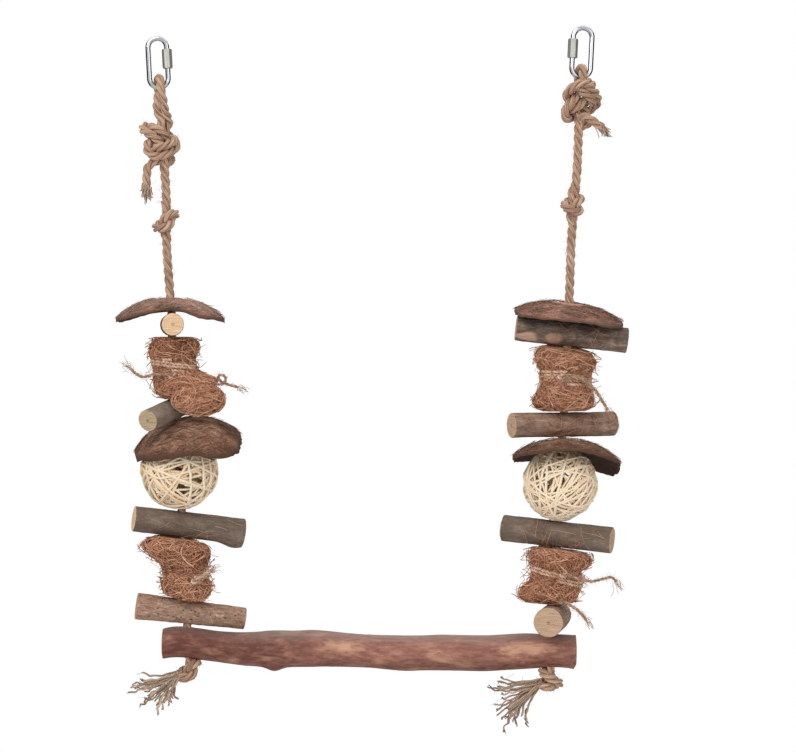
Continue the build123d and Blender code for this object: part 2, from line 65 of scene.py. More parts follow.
ROPE = 7 * MM  # diameter
ROPE_LAY = 21 * MM  # length of one turn of a strand round the rope
KNOTTED_ROPE = ROPE * 0.97  # its diameter in a knot
TWINE = 2.2 * MM  # diameter
TWINE_LAY = 6 * MM  # length of one turn of its two plies

PHOTO_SCALE = 0.75  # millimetres a pixel
PHOTO_ORIGIN = (370, 35.9)  # the pixel at the frame's origin
PHOTO_PERCH = 164  # the pixel column of the perch's left end

# A Mix node's colour sockets share their names with those of its other kinds, so they go by number.
MIX_FIRST, MIX_SECOND, MIX_RESULT = 6, 7, 2


# Colours and node trees


def paint(code):
    """An sRGB hex colour as linear RGBA."""
    parts = [int(code[i : i + 2], 16) / 255 for i in (1, 3, 5)]
    return [c / 12.92 if c <= 0.04045 else ((c + 0.055) / 1.055) ** 2.4 for c in parts] + [1.0]


def add(tree, kind, links=None, stops=None, **settings):
    """One node with its settings. A link is a number, a colour or another node's socket."""
    made = tree.nodes.new(kind)
    for name, value in settings.items():
        setattr(made, name, value)
    for name, value in (links or {}).items():
        socket = made.inputs[name]
        if isinstance(value, bpy.types.NodeSocket):
            tree.links.new(value, socket)
        else:
            socket.default_value = value
    if stops:
        ramp = made.color_ramp.elements
        while len(ramp) < len(stops):
            ramp.new(1.0)
        for element, (place, code) in zip(ramp, stops):
            element.position = place
            element.color = paint(code)
    return made


def blank_finish(name):
    """A material with an empty tree."""
    finish = bpy.data.materials.new(name)
    finish.use_nodes = True
    finish.node_tree.nodes.clear()
    return finish, finish.node_tree


def close_finish(tree, colour, bump=None, **shader):
    """The shader and the output of a finish."""
    links = {"Base Color": colour, **shader}
    if bump:
        links["Normal"] = bump.outputs[0]
    surface = add(tree, "ShaderNodeBsdfPrincipled", links)
    add(tree, "ShaderNodeOutputMaterial", {"Surface": surface.outputs[0]})


# Finishes


def bright_zinc_wire():
    """Bright zinc-plated steel wire: a mirror with the faint waviness of the plating."""
    finish, tree = blank_finish("bright_zinc_wire")
    place = add(tree, "ShaderNodeTexCoord").outputs["Object"]
    # Plating ripples about 2 mm long.
    ripple = add(tree, "ShaderNodeTexNoise", {"Vector": place, "Scale": 500.0, "Detail": 2.0})
    gloss = add(
        tree,
        "ShaderNodeMapRange",
        {"Value": ripple.outputs["Fac"], "To Min": 0.08, "To Max": 0.16},
    )
    bump = add(
        tree,
        "ShaderNodeBump",
        {"Height": ripple.outputs["Fac"], "Strength": 0.02, "Distance": 0.2 * MM},
    )
    close_finish(
        tree, paint("#b3b4b7"), bump, **{"Metallic": 1.0, "Roughness": gloss.outputs[0]}
    )
    return finish


def dull_turned_nut():
    """A turned steel nut under dull plating: greyer than the wire, with drawn marks along it."""
    finish, tree = blank_finish("dull_turned_nut")
    place = add(tree, "ShaderNodeTexCoord").outputs["Object"]
    # Drawn marks 0.5 mm apart and 8 mm long, coarser than the real ones so that they show.
    stretched = add(tree, "ShaderNodeMapping", {"Vector": place, "Scale": (2000.0, 2000.0, 125.0)})
    marks = add(tree, "ShaderNodeTexNoise", {"Vector": stretched.outputs[0], "Scale": 1.0})
    colour = add(
        tree,
        "ShaderNodeValToRGB",
        {"Fac": marks.outputs["Fac"]},
        stops=((0.3, "#9b9a92"), (0.7, "#bab9b1")),
    )
    bump = add(
        tree,
        "ShaderNodeBump",
        {"Height": marks.outputs["Fac"], "Strength": 0.08, "Distance": 0.1 * MM},
    )
    close_finish(tree, colour.outputs[0], bump, **{"Metallic": 0.8, "Roughness": 0.5})
    return finish


def plant_fibre(name, colours, streaks, reach, roughness, **look):
    """Spun or split plant fibre. The strands carry their own length, ring and shade, and the streaks of the
    single fibres follow them. Streaks is their number across a strand, reach their length."""
    finish, tree = blank_finish(name)
    ring = add(tree, "ShaderNodeAttribute", attribute_name="ring").outputs["Vector"]
    along = add(tree, "ShaderNodeAttribute", attribute_name="along").outputs["Fac"]
    shade = add(tree, "ShaderNodeAttribute", attribute_name="shade").outputs["Fac"]
    around = add(
        tree,
        "ShaderNodeVectorMath",
        {0: ring, 1: (streaks / 2, streaks / 2, 0.0)},
        operation="MULTIPLY",
    )
    length = add(tree, "ShaderNodeMath", {0: along, 1: 1 / reach}, operation="MULTIPLY")
    onward = add(tree, "ShaderNodeCombineXYZ", {"X": shade, "Y": 0.0, "Z": length.outputs[0]})
    spot = add(
        tree,
        "ShaderNodeVectorMath",
        {0: around.outputs[0], 1: onward.outputs[0]},
        operation="ADD",
    )
    streak = add(
        tree,
        "ShaderNodeTexNoise",
        {"Vector": spot.outputs[0], "Scale": 1.0, "Detail": 3.0, "Roughness": 0.65},
    )
    mixed = add(
        tree,
        "ShaderNodeMath",
        {0: shade, 1: 0.45, 2: streak.outputs["Fac"]},
        operation="MULTIPLY_ADD",
    )
    colour = add(
        tree,
        "ShaderNodeValToRGB",
        {"Fac": mixed.outputs[0]},
        stops=tuple(zip((0.46, 0.7, 0.95), colours)),
    )
    bump = add(
        tree,
        "ShaderNodeBump",
        {"Height": streak.outputs["Fac"], "Strength": 0.8, "Distance": 0.5 * MM},
    )
    look = {"Roughness": roughness, "Specular IOR Level": 0.25, **look}
    close_finish(tree, colour.outputs[0], bump, **look)
    return finish


def husk(name, outside, inside, rim):
    """Dried coconut shell with its husk fibres left on: fibres that cross at a slant, painted shade that
    darkens it towards the edge, where the shell curves away from the light, a plain broken rim and a dark
    scraped hollow."""
    finish, tree = blank_finish(name)
    skin = add(tree, "ShaderNodeAttribute", attribute_name="skin").outputs["Vector"]
    hollow = add(tree, "ShaderNodeAttribute", attribute_name="hollow").outputs["Fac"]
    edge = add(tree, "ShaderNodeAttribute", attribute_name="edge").outputs["Fac"]
    broken = add(tree, "ShaderNodeAttribute", attribute_name="rim").outputs["Fac"]
    layers = []
    # Husk fibres 0.9 mm apart and 14 mm long, coarser than the real ones so that they show.
    for slant in (-28, 24):
        turned = add(tree, "ShaderNodeMapping", {"Vector": skin, "Rotation": (0, 0, radians(slant))})
        combed = add(tree, "ShaderNodeMapping", {"Vector": turned.outputs[0], "Scale": (0.07, 1.1, 1.1)})
        layer = add(
            tree,
            "ShaderNodeTexNoise",
            {"Vector": combed.outputs[0], "Scale": 1.0, "Detail": 4.0, "Roughness": 0.7, "Distortion": 0.8},
        )
        layers.append(layer.outputs["Fac"])
    fibre = add(tree, "ShaderNodeMath", {0: layers[0], 1: layers[1]}, operation="MAXIMUM")
    # Patches 12 mm wide where the skin of the husk is still on.
    patch = add(
        tree,
        "ShaderNodeTexNoise",
        {"Vector": skin, "Scale": 0.08, "Detail": 5.0, "Roughness": 0.65},
    )
    blend = add(
        tree,
        "ShaderNodeMath",
        {0: patch.outputs["Fac"], 1: 0.5, 2: fibre.outputs[0]},
        operation="MULTIPLY_ADD",
    )
    # Painted shade: the husk is made darker towards its edge, where the shell curves away from the light.
    painted_edge_shade = add(
        tree,
        "ShaderNodeMapRange",
        {"Value": edge, "From Min": 0.55, "From Max": 1.0, "To Max": 0.2},
    )
    # The husk's tone with the painted edge shade taken off; nothing here is worn.
    worn = add(tree, "ShaderNodeMath", {0: blend.outputs[0], 1: painted_edge_shade.outputs[0]}, operation="SUBTRACT")
    top = add(
        tree,
        "ShaderNodeValToRGB",
        {"Fac": worn.outputs[0]},
        stops=tuple(zip((0.56, 0.7, 0.82, 0.94), outside)),
    )
    under = add(
        tree,
        "ShaderNodeValToRGB",
        {"Fac": fibre.outputs[0]},
        stops=tuple(zip((0.4, 0.8), inside)),
    )
    sides = add(
        tree,
        "ShaderNodeMix",
        {"Factor": hollow, MIX_FIRST: top.outputs[0], MIX_SECOND: under.outputs[0]},
        data_type="RGBA",
    )
    colour = add(
        tree,
        "ShaderNodeMix",
        {"Factor": broken, MIX_FIRST: sides.outputs[MIX_RESULT], MIX_SECOND: paint(rim)},
        data_type="RGBA",
    )
    bump = add(
        tree,
        "ShaderNodeBump",
        {"Height": fibre.outputs[0], "Strength": 0.8, "Distance": 0.8 * MM},
    )
    close_finish(
        tree,
        colour.outputs[MIX_RESULT],
        bump,
        **{"Roughness": 0.85, "Specular IOR Level": 0.2},
    )
    return finish


def bark(name, colours, crack, furrow, lichen, pits=0.0, roughness=0.85):
    """Bark on a cut branch: plates between furrows that run along the wood, fine grain, pale lichen, and
    lenticels where there are any. Crack is the plates' width in millimetres, furrow how much darker the
    furrows are, and lichen how much of its colour shows."""
    finish, tree = blank_finish(name)
    skin = add(tree, "ShaderNodeAttribute", attribute_name="skin").outputs["Vector"]
    long_way = add(tree, "ShaderNodeMapping", {"Vector": skin, "Scale": (1.0, 1.0, 0.32)})
    plate = add(
        tree,
        "ShaderNodeTexNoise",
        {
            "Vector": long_way.outputs[0],
            "Scale": 1 / crack,
            "Detail": 5.0,
            "Roughness": 0.68,
            "Distortion": 0.4,
        },
    )
    # Grain 0.7 mm wide.
    grain = add(
        tree,
        "ShaderNodeTexNoise",
        {"Vector": long_way.outputs[0], "Scale": 1.4, "Detail": 4.0, "Roughness": 0.7},
    )
    furrows = add(
        tree,
        "ShaderNodeTexVoronoi",
        {"Vector": long_way.outputs[0], "Scale": 0.8 / crack, "Randomness": 1.0},
        feature="DISTANCE_TO_EDGE",
    )
    open_furrow = add(
        tree,
        "ShaderNodeMapRange",
        {"Value": furrows.outputs["Distance"], "From Max": 0.12, "To Min": furrow, "To Max": 0.0},
    )
    tone = add(
        tree,
        "ShaderNodeMath",
        {0: grain.outputs["Fac"], 1: 0.5, 2: plate.outputs["Fac"]},
        operation="MULTIPLY_ADD",
    )
    worn = add(
        tree,
        "ShaderNodeMath",
        {0: tone.outputs[0], 1: open_furrow.outputs[0]},
        operation="SUBTRACT",
    )
    colour = add(
        tree,
        "ShaderNodeValToRGB",
        {"Fac": worn.outputs[0]},
        stops=tuple(zip((0.42, 0.66, 0.82, 0.98), colours)),
    )
    # Lichen in spots about 9 mm wide.
    spots = add(
        tree,
        "ShaderNodeTexNoise",
        {"Vector": skin, "Scale": 0.11, "Detail": 6.0, "Roughness": 0.75},
    )
    pale = add(
        tree,
        "ShaderNodeMapRange",
        {"Value": spots.outputs["Fac"], "From Min": 0.5, "From Max": 0.7, "To Max": lichen},
    )
    grown = add(
        tree,
        "ShaderNodeMix",
        {"Factor": pale.outputs[0], MIX_FIRST: colour.outputs[0], MIX_SECOND: paint("#a3978a")},
        data_type="RGBA",
    )
    bare = add(tree, "ShaderNodeAttribute", attribute_name="bare").outputs["Fac"]
    skinned = add(
        tree,
        "ShaderNodeMix",
        {"Factor": bare, MIX_FIRST: grown.outputs[MIX_RESULT], MIX_SECOND: paint("#bf9c87")},
        data_type="RGBA",
    )
    last = skinned.outputs[MIX_RESULT]
    height = worn.outputs[0]
    if pits:
        # Lenticels, 1.2 mm pits about 4 mm apart.
        pit = add(tree, "ShaderNodeTexVoronoi", {"Vector": skin, "Scale": 0.27})
        deep = add(
            tree,
            "ShaderNodeMapRange",
            {
                "Value": pit.outputs["Distance"],
                "From Min": 0.1,
                "From Max": 0.26,
                "To Min": pits,
                "To Max": 0.0,
            },
        )
        pitted = add(
            tree,
            "ShaderNodeMix",
            {"Factor": deep.outputs[0], MIX_FIRST: last, MIX_SECOND: paint("#3f2a20")},
            data_type="RGBA",
        )
        last = pitted.outputs[MIX_RESULT]
    bump = add(
        tree,
        "ShaderNodeBump",
        {"Height": height, "Strength": 0.75, "Distance": 0.9 * MM},
    )
    close_finish(tree, last, bump, **{"Roughness": roughness, "Specular IOR Level": 0.3})
    return finish


def sawn_end(name, colours):
    """A sawn branch end: pale wood with growth rings, a dark pith and the saw's scratches."""
    finish, tree = blank_finish(name)
    skin = add(tree, "ShaderNodeAttribute", attribute_name="skin").outputs["Vector"]
    flat = add(tree, "ShaderNodeMapping", {"Vector": skin, "Scale": (1.0, 1.0, 0.0)})
    # Growth rings 1.6 mm apart.
    rings = add(
        tree,
        "ShaderNodeTexWave",
        {
            "Vector": flat.outputs[0],
            "Scale": 0.2,
            "Distortion": 3.5,
            "Detail": 3.0,
            "Detail Scale": 0.6,
        },
        wave_type="RINGS",
        rings_direction="Z",
    )
    # Saw scratches 0.8 mm apart.
    scored = add(tree, "ShaderNodeMapping", {"Vector": skin, "Scale": (0.1, 1.25, 0.0)})
    saw = add(tree, "ShaderNodeTexNoise", {"Vector": scored.outputs[0], "Scale": 1.0, "Detail": 3.0})
    far = add(tree, "ShaderNodeVectorMath", {0: flat.outputs[0]}, operation="LENGTH")
    pith = add(
        tree,
        "ShaderNodeMapRange",
        {"Value": far.outputs["Value"], "From Min": 0.3, "From Max": 1.8, "To Min": 0.4, "To Max": 0.0},
    )
    tone = add(
        tree,
        "ShaderNodeMath",
        {0: rings.outputs["Fac"], 1: 0.13, 2: saw.outputs["Fac"]},
        operation="MULTIPLY_ADD",
    )
    dark = add(
        tree,
        "ShaderNodeMath",
        {0: tone.outputs[0], 1: pith.outputs[0]},
        operation="SUBTRACT",
    )
    colour = add(
        tree,
        "ShaderNodeValToRGB",
        {"Fac": dark.outputs[0]},
        stops=tuple(zip((0.25, 0.6, 0.95), colours)),
    )
    bump = add(
        tree,
        "ShaderNodeBump",
        {"Height": saw.outputs["Fac"], "Strength": 0.35, "Distance": 0.4 * MM},
    )
    close_finish(tree, colour.outputs[0], bump, **{"Roughness": 0.8, "Specular IOR Level": 0.2})
    return finish


def peeled_perch_bark():
    """The perch's thin red bark, rubbed smooth: mottled, darker at the left and underneath, worn to tan
    wood in patches, with a greyer painted sheen on top for the overhead light's reflection."""
    finish, tree = blank_finish("peeled_perch_bark")
    skin = add(tree, "ShaderNodeAttribute", attribute_name="skin").outputs["Vector"]
    # Mottling 3 mm wide and 9 mm long.
    drawn = add(tree, "ShaderNodeMapping", {"Vector": skin, "Scale": (0.33, 0.33, 0.11)})
    streak = add(
        tree,
        "ShaderNodeTexNoise",
        {"Vector": drawn.outputs[0], "Scale": 1.0, "Detail": 5.0, "Roughness": 0.66},
    )
    # Grazes 12 mm wide and 28 mm long.
    rubbed = add(tree, "ShaderNodeMapping", {"Vector": skin, "Scale": (0.083, 0.083, 0.036)})
    graze = add(
        tree,
        "ShaderNodeTexNoise",
        {"Vector": rubbed.outputs[0], "Scale": 1.0, "Detail": 4.0, "Roughness": 0.6},
    )
    tone = add(
        tree,
        "ShaderNodeMath",
        {0: graze.outputs["Fac"], 1: 0.45, 2: streak.outputs["Fac"]},
        operation="MULTIPLY_ADD",
    )
    parts = add(tree, "ShaderNodeSeparateXYZ", {"Vector": skin})
    # The bark is darker over the first 110 mm from the left end, and the perch is made darker along the
    # underside.
    old = add(
        tree,
        "ShaderNodeMapRange",
        {"Value": parts.outputs["Z"], "From Min": 85.0, "From Max": 135.0, "To Min": 0.27, "To Max": 0.0},
    )
    belly = add(
        tree,
        "ShaderNodeMapRange",
        {"Value": parts.outputs["Y"], "From Min": -9.0, "From Max": -2.0, "To Min": 0.22, "To Max": 0.0},
    )
    dark = add(tree, "ShaderNodeMath", {0: old.outputs[0], 1: belly.outputs[0]}, operation="MAXIMUM")
    darkened = add(tree, "ShaderNodeMath", {0: tone.outputs[0], 1: dark.outputs[0]}, operation="SUBTRACT")
    colour = add(
        tree,
        "ShaderNodeValToRGB",
        {"Fac": darkened.outputs[0]},
        stops=((0.36, "#62362a"), (0.62, "#8b5b4c"), (0.82, "#a57363"), (1.05, "#c49583")),
    )
    # The deepest grazes show the tan wood under the bark.
    open_graze = add(
        tree,
        "ShaderNodeMapRange",
        {"Value": graze.outputs["Fac"], "From Min": 0.56, "From Max": 0.72, "To Max": 0.45},
    )
    # Two places are worn through, 135 and 272 mm from the left end, 4 mm above the middle and 18 mm tall.
    bare = open_graze
    high, tall = 4, 9
    for along, half in ((135, 24), (272, 38)):
        place = add(
            tree,
            "ShaderNodeMapping",
            {
                "Vector": skin,
                "Location": (0, -high / tall, -along / half),
                "Scale": (0, 1 / tall, 1 / half),
            },
        )
        near = add(tree, "ShaderNodeTexGradient", {"Vector": place.outputs[0]}, gradient_type="SPHERICAL")
        ragged = add(
            tree,
            "ShaderNodeMath",
            {0: streak.outputs["Fac"], 1: 1.2, 2: near.outputs["Fac"]},
            operation="MULTIPLY_ADD",
        )
        worn = add(
            tree,
            "ShaderNodeMapRange",
            {"Value": ragged.outputs[0], "From Min": 0.9, "From Max": 1.4, "To Max": 0.8},
        )
        bare = add(tree, "ShaderNodeMath", {0: bare.outputs[0], 1: worn.outputs[0]}, operation="MAXIMUM")
    grazed = add(
        tree,
        "ShaderNodeMix",
        {"Factor": bare.outputs[0], MIX_FIRST: colour.outputs[0], MIX_SECOND: paint("#cfa083")},
        data_type="RGBA",
    )
    # A greyer painted sheen for the overhead light's reflection lies on top, from 6 mm above the middle up.
    over = add(
        tree,
        "ShaderNodeMapRange",
        {"Value": parts.outputs["Y"], "From Min": 6.0, "From Max": 13.0, "To Max": 0.6},
    )
    painted_top_sheen = add(
        tree,
        "ShaderNodeMix",
        {"Factor": over.outputs[0], MIX_FIRST: grazed.outputs[MIX_RESULT], MIX_SECOND: paint("#8f7d76")},
        data_type="RGBA",
    )
    bump = add(
        tree,
        "ShaderNodeBump",
        {"Height": tone.outputs[0], "Strength": 0.3, "Distance": 0.8 * MM},
    )
    close_finish(
        tree,
        painted_top_sheen.outputs[MIX_RESULT],
        bump,
        **{"Roughness": 0.62, "Specular IOR Level": 0.35},
    )
    return finish


ZINC = bright_zinc_wire()
NUT = dull_turned_nut()
# Jute spun into yarns and laid up in three strands: matt, with pale and dark yarns side by side.
JUTE = plant_fibre(
    "laid_jute",
    ("#593c2d", "#ac8870", "#e6c6ac"),
    streaks=5.0,
    reach=14 * MM,
    roughness=0.9,
    **{"Sheen Weight": 0.15},
)
# The same jute, unlaid: single dusty yarns.
FRAYED = plant_fibre(
    "frayed_jute", ("#675040", "#ac927d", "#d8c2ad"), streaks=5.0, reach=8 * MM, roughness=0.92
)
# Two-ply hemp twine, matt, paler than the rope where it is clean.
HEMP = plant_fibre(
    "hemp_twine", ("#6b5545", "#ba967c", "#f4d2b9"), streaks=5.0, reach=6 * MM, roughness=0.9
)
# Coir, the husk's wiry red-brown fibre: each one has its own shade.
COIR = plant_fibre(
    "coir_fibre", ("#8c573d", "#d29370", "#ffcdab"), streaks=3.0, reach=8 * MM, roughness=0.75
)
# Fine hairs of husk on the darker shells.
HUSK_HAIR = plant_fibre(
    "husk_hair", ("#4a3226", "#7d5c49", "#b09078"), streaks=3.0, reach=8 * MM, roughness=0.85
)
# Peeled vine, bleached cream, with a dull satin skin.
VINE = plant_fibre(
    "peeled_vine", ("#f0c594", "#ffe6c4", "#fff1da"), streaks=6.0, reach=14 * MM, roughness=0.6
)
# Weathered husk: matt, fibrous and pinkish brown.
UPPER_HUSK = husk(
    "pale_coconut_husk",
    ("#5f4438", "#a07564", "#c79583", "#eec8b6"),
    ("#2a1c15", "#4d3a30"),
    "#6d5041",
)
# Fresher husk: matt, fibrous and a deeper brown.
LOWER_HUSK = husk(
    "dark_coconut_husk",
    ("#583c2d", "#946d59", "#be947d", "#edcab1"),
    ("#2e1c15", "#54382d"),
    "#5c4233",
)
# Sawn branch ends: cream when fresh, duller with age, greenish where the wood was young.
PALE_END = sawn_end("pale_sawn_end", ("#b89068", "#e3c09b", "#f2dabd"))
DULL_END = sawn_end("dull_sawn_end", ("#94755a", "#c0a186", "#d6bda5"))
GREEN_END = sawn_end("green_sawn_end", ("#877257", "#b7a283", "#cdbb9f"))


# Paths


def place_of(joint):
    """A joint's place and axis."""
    facts = JOINTS[joint]
    return np.array(facts["pos_m"]), np.array(facts["axis"])


def corners(node):
    """A node's lowest and highest corners."""
    low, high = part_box(node)
    return np.array(low), np.array(high)


def cad_points(node):
    """The corners of a CAD node's mesh."""
    mesh = frame["nodes"][node].data
    points = np.empty(3 * len(mesh.vertices))
    mesh.vertices.foreach_get("co", points)
    return points.reshape(-1, 3)


def cad_skin(node):
    """A CAD node's surface, to be felt with rays."""
    mesh = frame["nodes"][node].data
    mesh.calc_loop_triangles()
    return BVHTree.FromPolygons(
        [vertex.co for vertex in mesh.vertices],
        [tuple(triangle.vertices) for triangle in mesh.loop_triangles],
    )


def smooth_path(route):
    """Points along the smooth curve that a route's points draw."""
    curve = bpy.data.curves.new("route", "CURVE")
    curve.dimensions = "3D"
    spline = curve.splines.new("NURBS")
    spline.points.add(len(route) - 1)
    for point, spot in zip(spline.points, route):
        point.co = (*spot, 1.0)
    spline.order_u = 3
    spline.use_endpoint_u = True
    spline.resolution_u = 24
    guide = bpy.data.objects.new("route", curve)
    bpy.context.scene.collection.objects.link(guide)
    mesh = bpy.data.meshes.new_from_object(guide)
    points = np.array([vertex.co for vertex in mesh.vertices])
    bpy.data.objects.remove(guide)
    bpy.data.curves.remove(curve)
    bpy.data.meshes.remove(mesh)
    return points


def run_of(path):
    """How far along a path each of its points lies."""
    return np.concatenate([[0], np.cumsum(np.linalg.norm(np.diff(path, axis=0), axis=1))])


def counted(path, count):
    """The same path with a number of evenly spaced points."""
    run = run_of(path)
    marks = np.linspace(0, run[-1], count)
    return np.stack([np.interp(marks, run, path[:, axis]) for axis in range(3)], axis=1)


def evenly(path, step):
    """The same path with its points about a step apart."""
    return counted(path, max(3, int(round(run_of(path)[-1] / step)) + 1))


def cross_ways(path):
    """Two directions across a path at each point, carried along it without twist."""
    ways = np.gradient(path, axis=0)
    ways /= np.linalg.norm(ways, axis=1)[:, None]
    start = np.cross(ways[0], (0.31, 0.9, 0.27))
    first = [start / np.linalg.norm(start)]
    for way in ways[1:]:
        side = first[-1] - way * first[-1].dot(way)
        first.append(side / np.linalg.norm(side))
    first = np.array(first)
    return first, np.cross(ways, first)


def laid_rope(path, diameter):
    """The three strands of a left-laid rope along a path, and their radius."""
    path = evenly(path, diameter * 0.16)
    one, two = cross_ways(path)
    laid = []
    for number in range(3):
        angle = -2 * pi * run_of(path) / ROPE_LAY + number * 2 * pi / 3
        out = np.cos(angle)[:, None] * one + np.sin(angle)[:, None] * two
        laid.append(path + out * diameter * 0.275)
    return laid, diameter * 0.228


def stray_hairs(paths, radius, count, length, lift=0.5):
    """Short hairs that stand off a path's surface, leaning along it."""
    hairs = []
    for path in paths:
        one, two = cross_ways(path)
        ways = np.gradient(path, axis=0)
        ways /= np.linalg.norm(ways, axis=1)[:, None]
        share = max(1, count // len(paths))
        for _ in range(share):
            spot = CHANCE.integers(0, len(path))
            angle = CHANCE.uniform(0, 2 * pi)
            out = cos(angle) * one[spot] + sin(angle) * two[spot]
            aside = -sin(angle) * one[spot] + cos(angle) * two[spot]
            lean = CHANCE.normal(0, 1, 3)
            way = ways[spot] * lean[0] + aside * lean[1] * 0.7 + out * lift * abs(lean[2])
            way /= np.linalg.norm(way)
            reach = length * CHANCE.uniform(0.3, 1.0)
            curl = CHANCE.normal(0, 0.22, 3) * reach
            marks = np.linspace(0, 1, 4)[:, None]
            hairs.append(path[spot] + out * radius * 0.9 + way * marks * reach + curl * marks**2)
    return hairs


# Strands: every fibre, yarn, rope strand, twine and vine is a round strand along a line of points.


def strand_tree():
    """A tree that turns lines of points into round strands that carry their length and ring."""
    tree = bpy.data.node_groups.new("round_strands", "GeometryNodeTree")
    tree.interface.new_socket("Lines", in_out="INPUT", socket_type="NodeSocketGeometry")
    tree.interface.new_socket("Sides", in_out="INPUT", socket_type="NodeSocketInt")
    tree.interface.new_socket("Finish", in_out="INPUT", socket_type="NodeSocketMaterial")
    tree.interface.new_socket("Strands", in_out="OUTPUT", socket_type="NodeSocketGeometry")
    given = add(tree, "NodeGroupInput")
    lines = add(tree, "GeometryNodeMeshToCurve", {"Mesh": given.outputs["Lines"]})
    run = add(tree, "GeometryNodeSplineParameter")
    marked = add(
        tree,
        "GeometryNodeStoreNamedAttribute",
        {"Geometry": lines.outputs[0], "Name": "along", "Value": run.outputs["Length"]},
    )
    thick = add(tree, "GeometryNodeInputNamedAttribute", {"Name": "thickness"})
    ring = add(
        tree,
        "GeometryNodeCurvePrimitiveCircle",
        {"Resolution": given.outputs["Sides"], "Radius": 1.0},
    )
    place = add(tree, "GeometryNodeInputPosition")
    round_ring = add(
        tree,
        "GeometryNodeStoreNamedAttribute",
        {"Geometry": ring.outputs["Curve"], "Name": "ring", "Value": place.outputs[0]},
        data_type="FLOAT_VECTOR",
    )
    tubes = add(
        tree,
        "GeometryNodeCurveToMesh",
        {
            "Curve": marked.outputs[0],
            "Profile Curve": round_ring.outputs[0],
            "Scale": thick.outputs["Attribute"],
            "Fill Caps": True,
        },
    )
    smooth = add(tree, "GeometryNodeSetShadeSmooth", {"Geometry": tubes.outputs[0]})
    whole = add(tree, "GeometryNodeRealizeInstances", {"Geometry": smooth.outputs[0]})
    dressed = add(
        tree,
        "GeometryNodeSetMaterial",
        {"Geometry": whole.outputs[0], "Material": given.outputs["Finish"]},
    )
    add(tree, "NodeGroupOutput", {"Strands": dressed.outputs[0]})
    return tree


STRANDS = strand_tree()
SOCKETS = {
    item.name: item.identifier
    for item in STRANDS.interface.items_tree
    if item.in_out == "INPUT"
}


def linked(name, data):
    """An object in the scene."""
    piece = bpy.data.objects.new(name, data)
    bpy.context.scene.collection.objects.link(piece)
    return piece


def strands(name, bunches, finish, sides=6):
    """One mesh of round strands. A bunch is its lines, their thickness (radius) and their shade; either of
    the last two may be one number or one for each line."""
    spots, edges, thickness, shades = [], [], [], []
    count = 0
    for lines, thick, shade in bunches:
        thick = np.broadcast_to(np.asarray(thick, float), (len(lines),))
        shade = np.broadcast_to(np.asarray(shade, float), (len(lines),))
        for line, radius, tone in zip(lines, thick, shade):
            size = len(line)
            order = np.arange(count, count + size)
            edges.append(np.stack([order[:-1], order[1:]], axis=1))
            spots.append(line)
            thickness.append(np.full(size, radius))
            shades.append(np.full(size, tone))
            count += size
    mesh = bpy.data.meshes.new(name)
    mesh.from_pydata(np.concatenate(spots).tolist(), np.concatenate(edges).tolist(), [])
    for label, values in (("thickness", thickness), ("shade", shades)):
        held = mesh.attributes.new(label, "FLOAT", "POINT")
        held.data.foreach_set("value", np.concatenate(values))
    piece = linked(name, mesh)
    modifier = piece.modifiers.new("strands", "NODES")
    modifier.node_group = STRANDS
    modifier[SOCKETS["Sides"]] = sides
    modifier[SOCKETS["Finish"]] = finish
    graph = bpy.context.evaluated_depsgraph_get()
    baked = bpy.data.meshes.new_from_object(piece.evaluated_get(graph))
    piece.modifiers.clear()
    piece.data = baked
    bpy.data.meshes.remove(mesh)
    baked.name = name
    return piece


# Skins: shells, sticks, the perch and the coir's cores are grids of points closed around.


def skin_mesh(name, rows, finishes, row_finish=None, ends=True, values=None, sharp=()):
    """A mesh over rows of points. Each row closes on itself, and the first and last rows are filled, or
    joined where the rows run round too. The sharp rows are creases."""
    count, wide = rows.shape[:2]
    index = np.arange(count * wide).reshape(count, wide)
    last = count if not ends else count - 1
    low = index[np.arange(last)]
    high = index[(np.arange(last) + 1) % count]
    faces = np.stack([low, np.roll(low, -1, axis=1), np.roll(high, -1, axis=1), high], axis=2)
    faces = faces.reshape(-1, 4).tolist()
    if ends:
        faces.append(index[0][::-1].tolist())
        faces.append(index[-1].tolist())
    mesh = bpy.data.meshes.new(name)
    mesh.from_pydata(rows.reshape(-1, 3).tolist(), [], faces)
    for finish in finishes:
        mesh.materials.append(finish)
    if row_finish is not None:
        picks = np.repeat(row_finish[:last], wide)
        picks = np.concatenate([picks, [row_finish[0], row_finish[-1]]]) if ends else picks
        mesh.polygons.foreach_set("material_index", picks.astype(np.int32))
    mesh.polygons.foreach_set("use_smooth", np.ones(len(mesh.polygons), bool))
    if sharp:
        pairs = np.empty(2 * len(mesh.edges), np.int32)
        mesh.edges.foreach_get("vertices", pairs)
        one, two = pairs.reshape(-1, 2).T // wide
        crease = (one == two) & np.isin(one, [row % count for row in sharp])
        mesh.attributes.new("sharp_edge", "BOOLEAN", "EDGE").data.foreach_set("value", crease)
    for label, value in (values or {}).items():
        value = np.asarray(value, float)
        kind = "FLOAT_VECTOR" if value.shape[-1:] == (3,) and value.ndim == 3 else "FLOAT"
        held = mesh.attributes.new(label, kind, "POINT")
        key = "vector" if kind == "FLOAT_VECTOR" else "value"
        held.data.foreach_set(key, value.reshape(-1))
    mesh.update()
    return linked(name, mesh)


def grain_field(points, scale, seed):
    """Smooth noise at each point, about -1 to 1."""
    shift = Vector((seed * 7.3, seed * 3.1, seed * 5.7))
    flat = points.reshape(-1, 3) * scale
    values = [noise.noise(Vector(point) + shift) for point in flat.tolist()]
    return np.array(values).reshape(points.shape[:-1])


# Knots


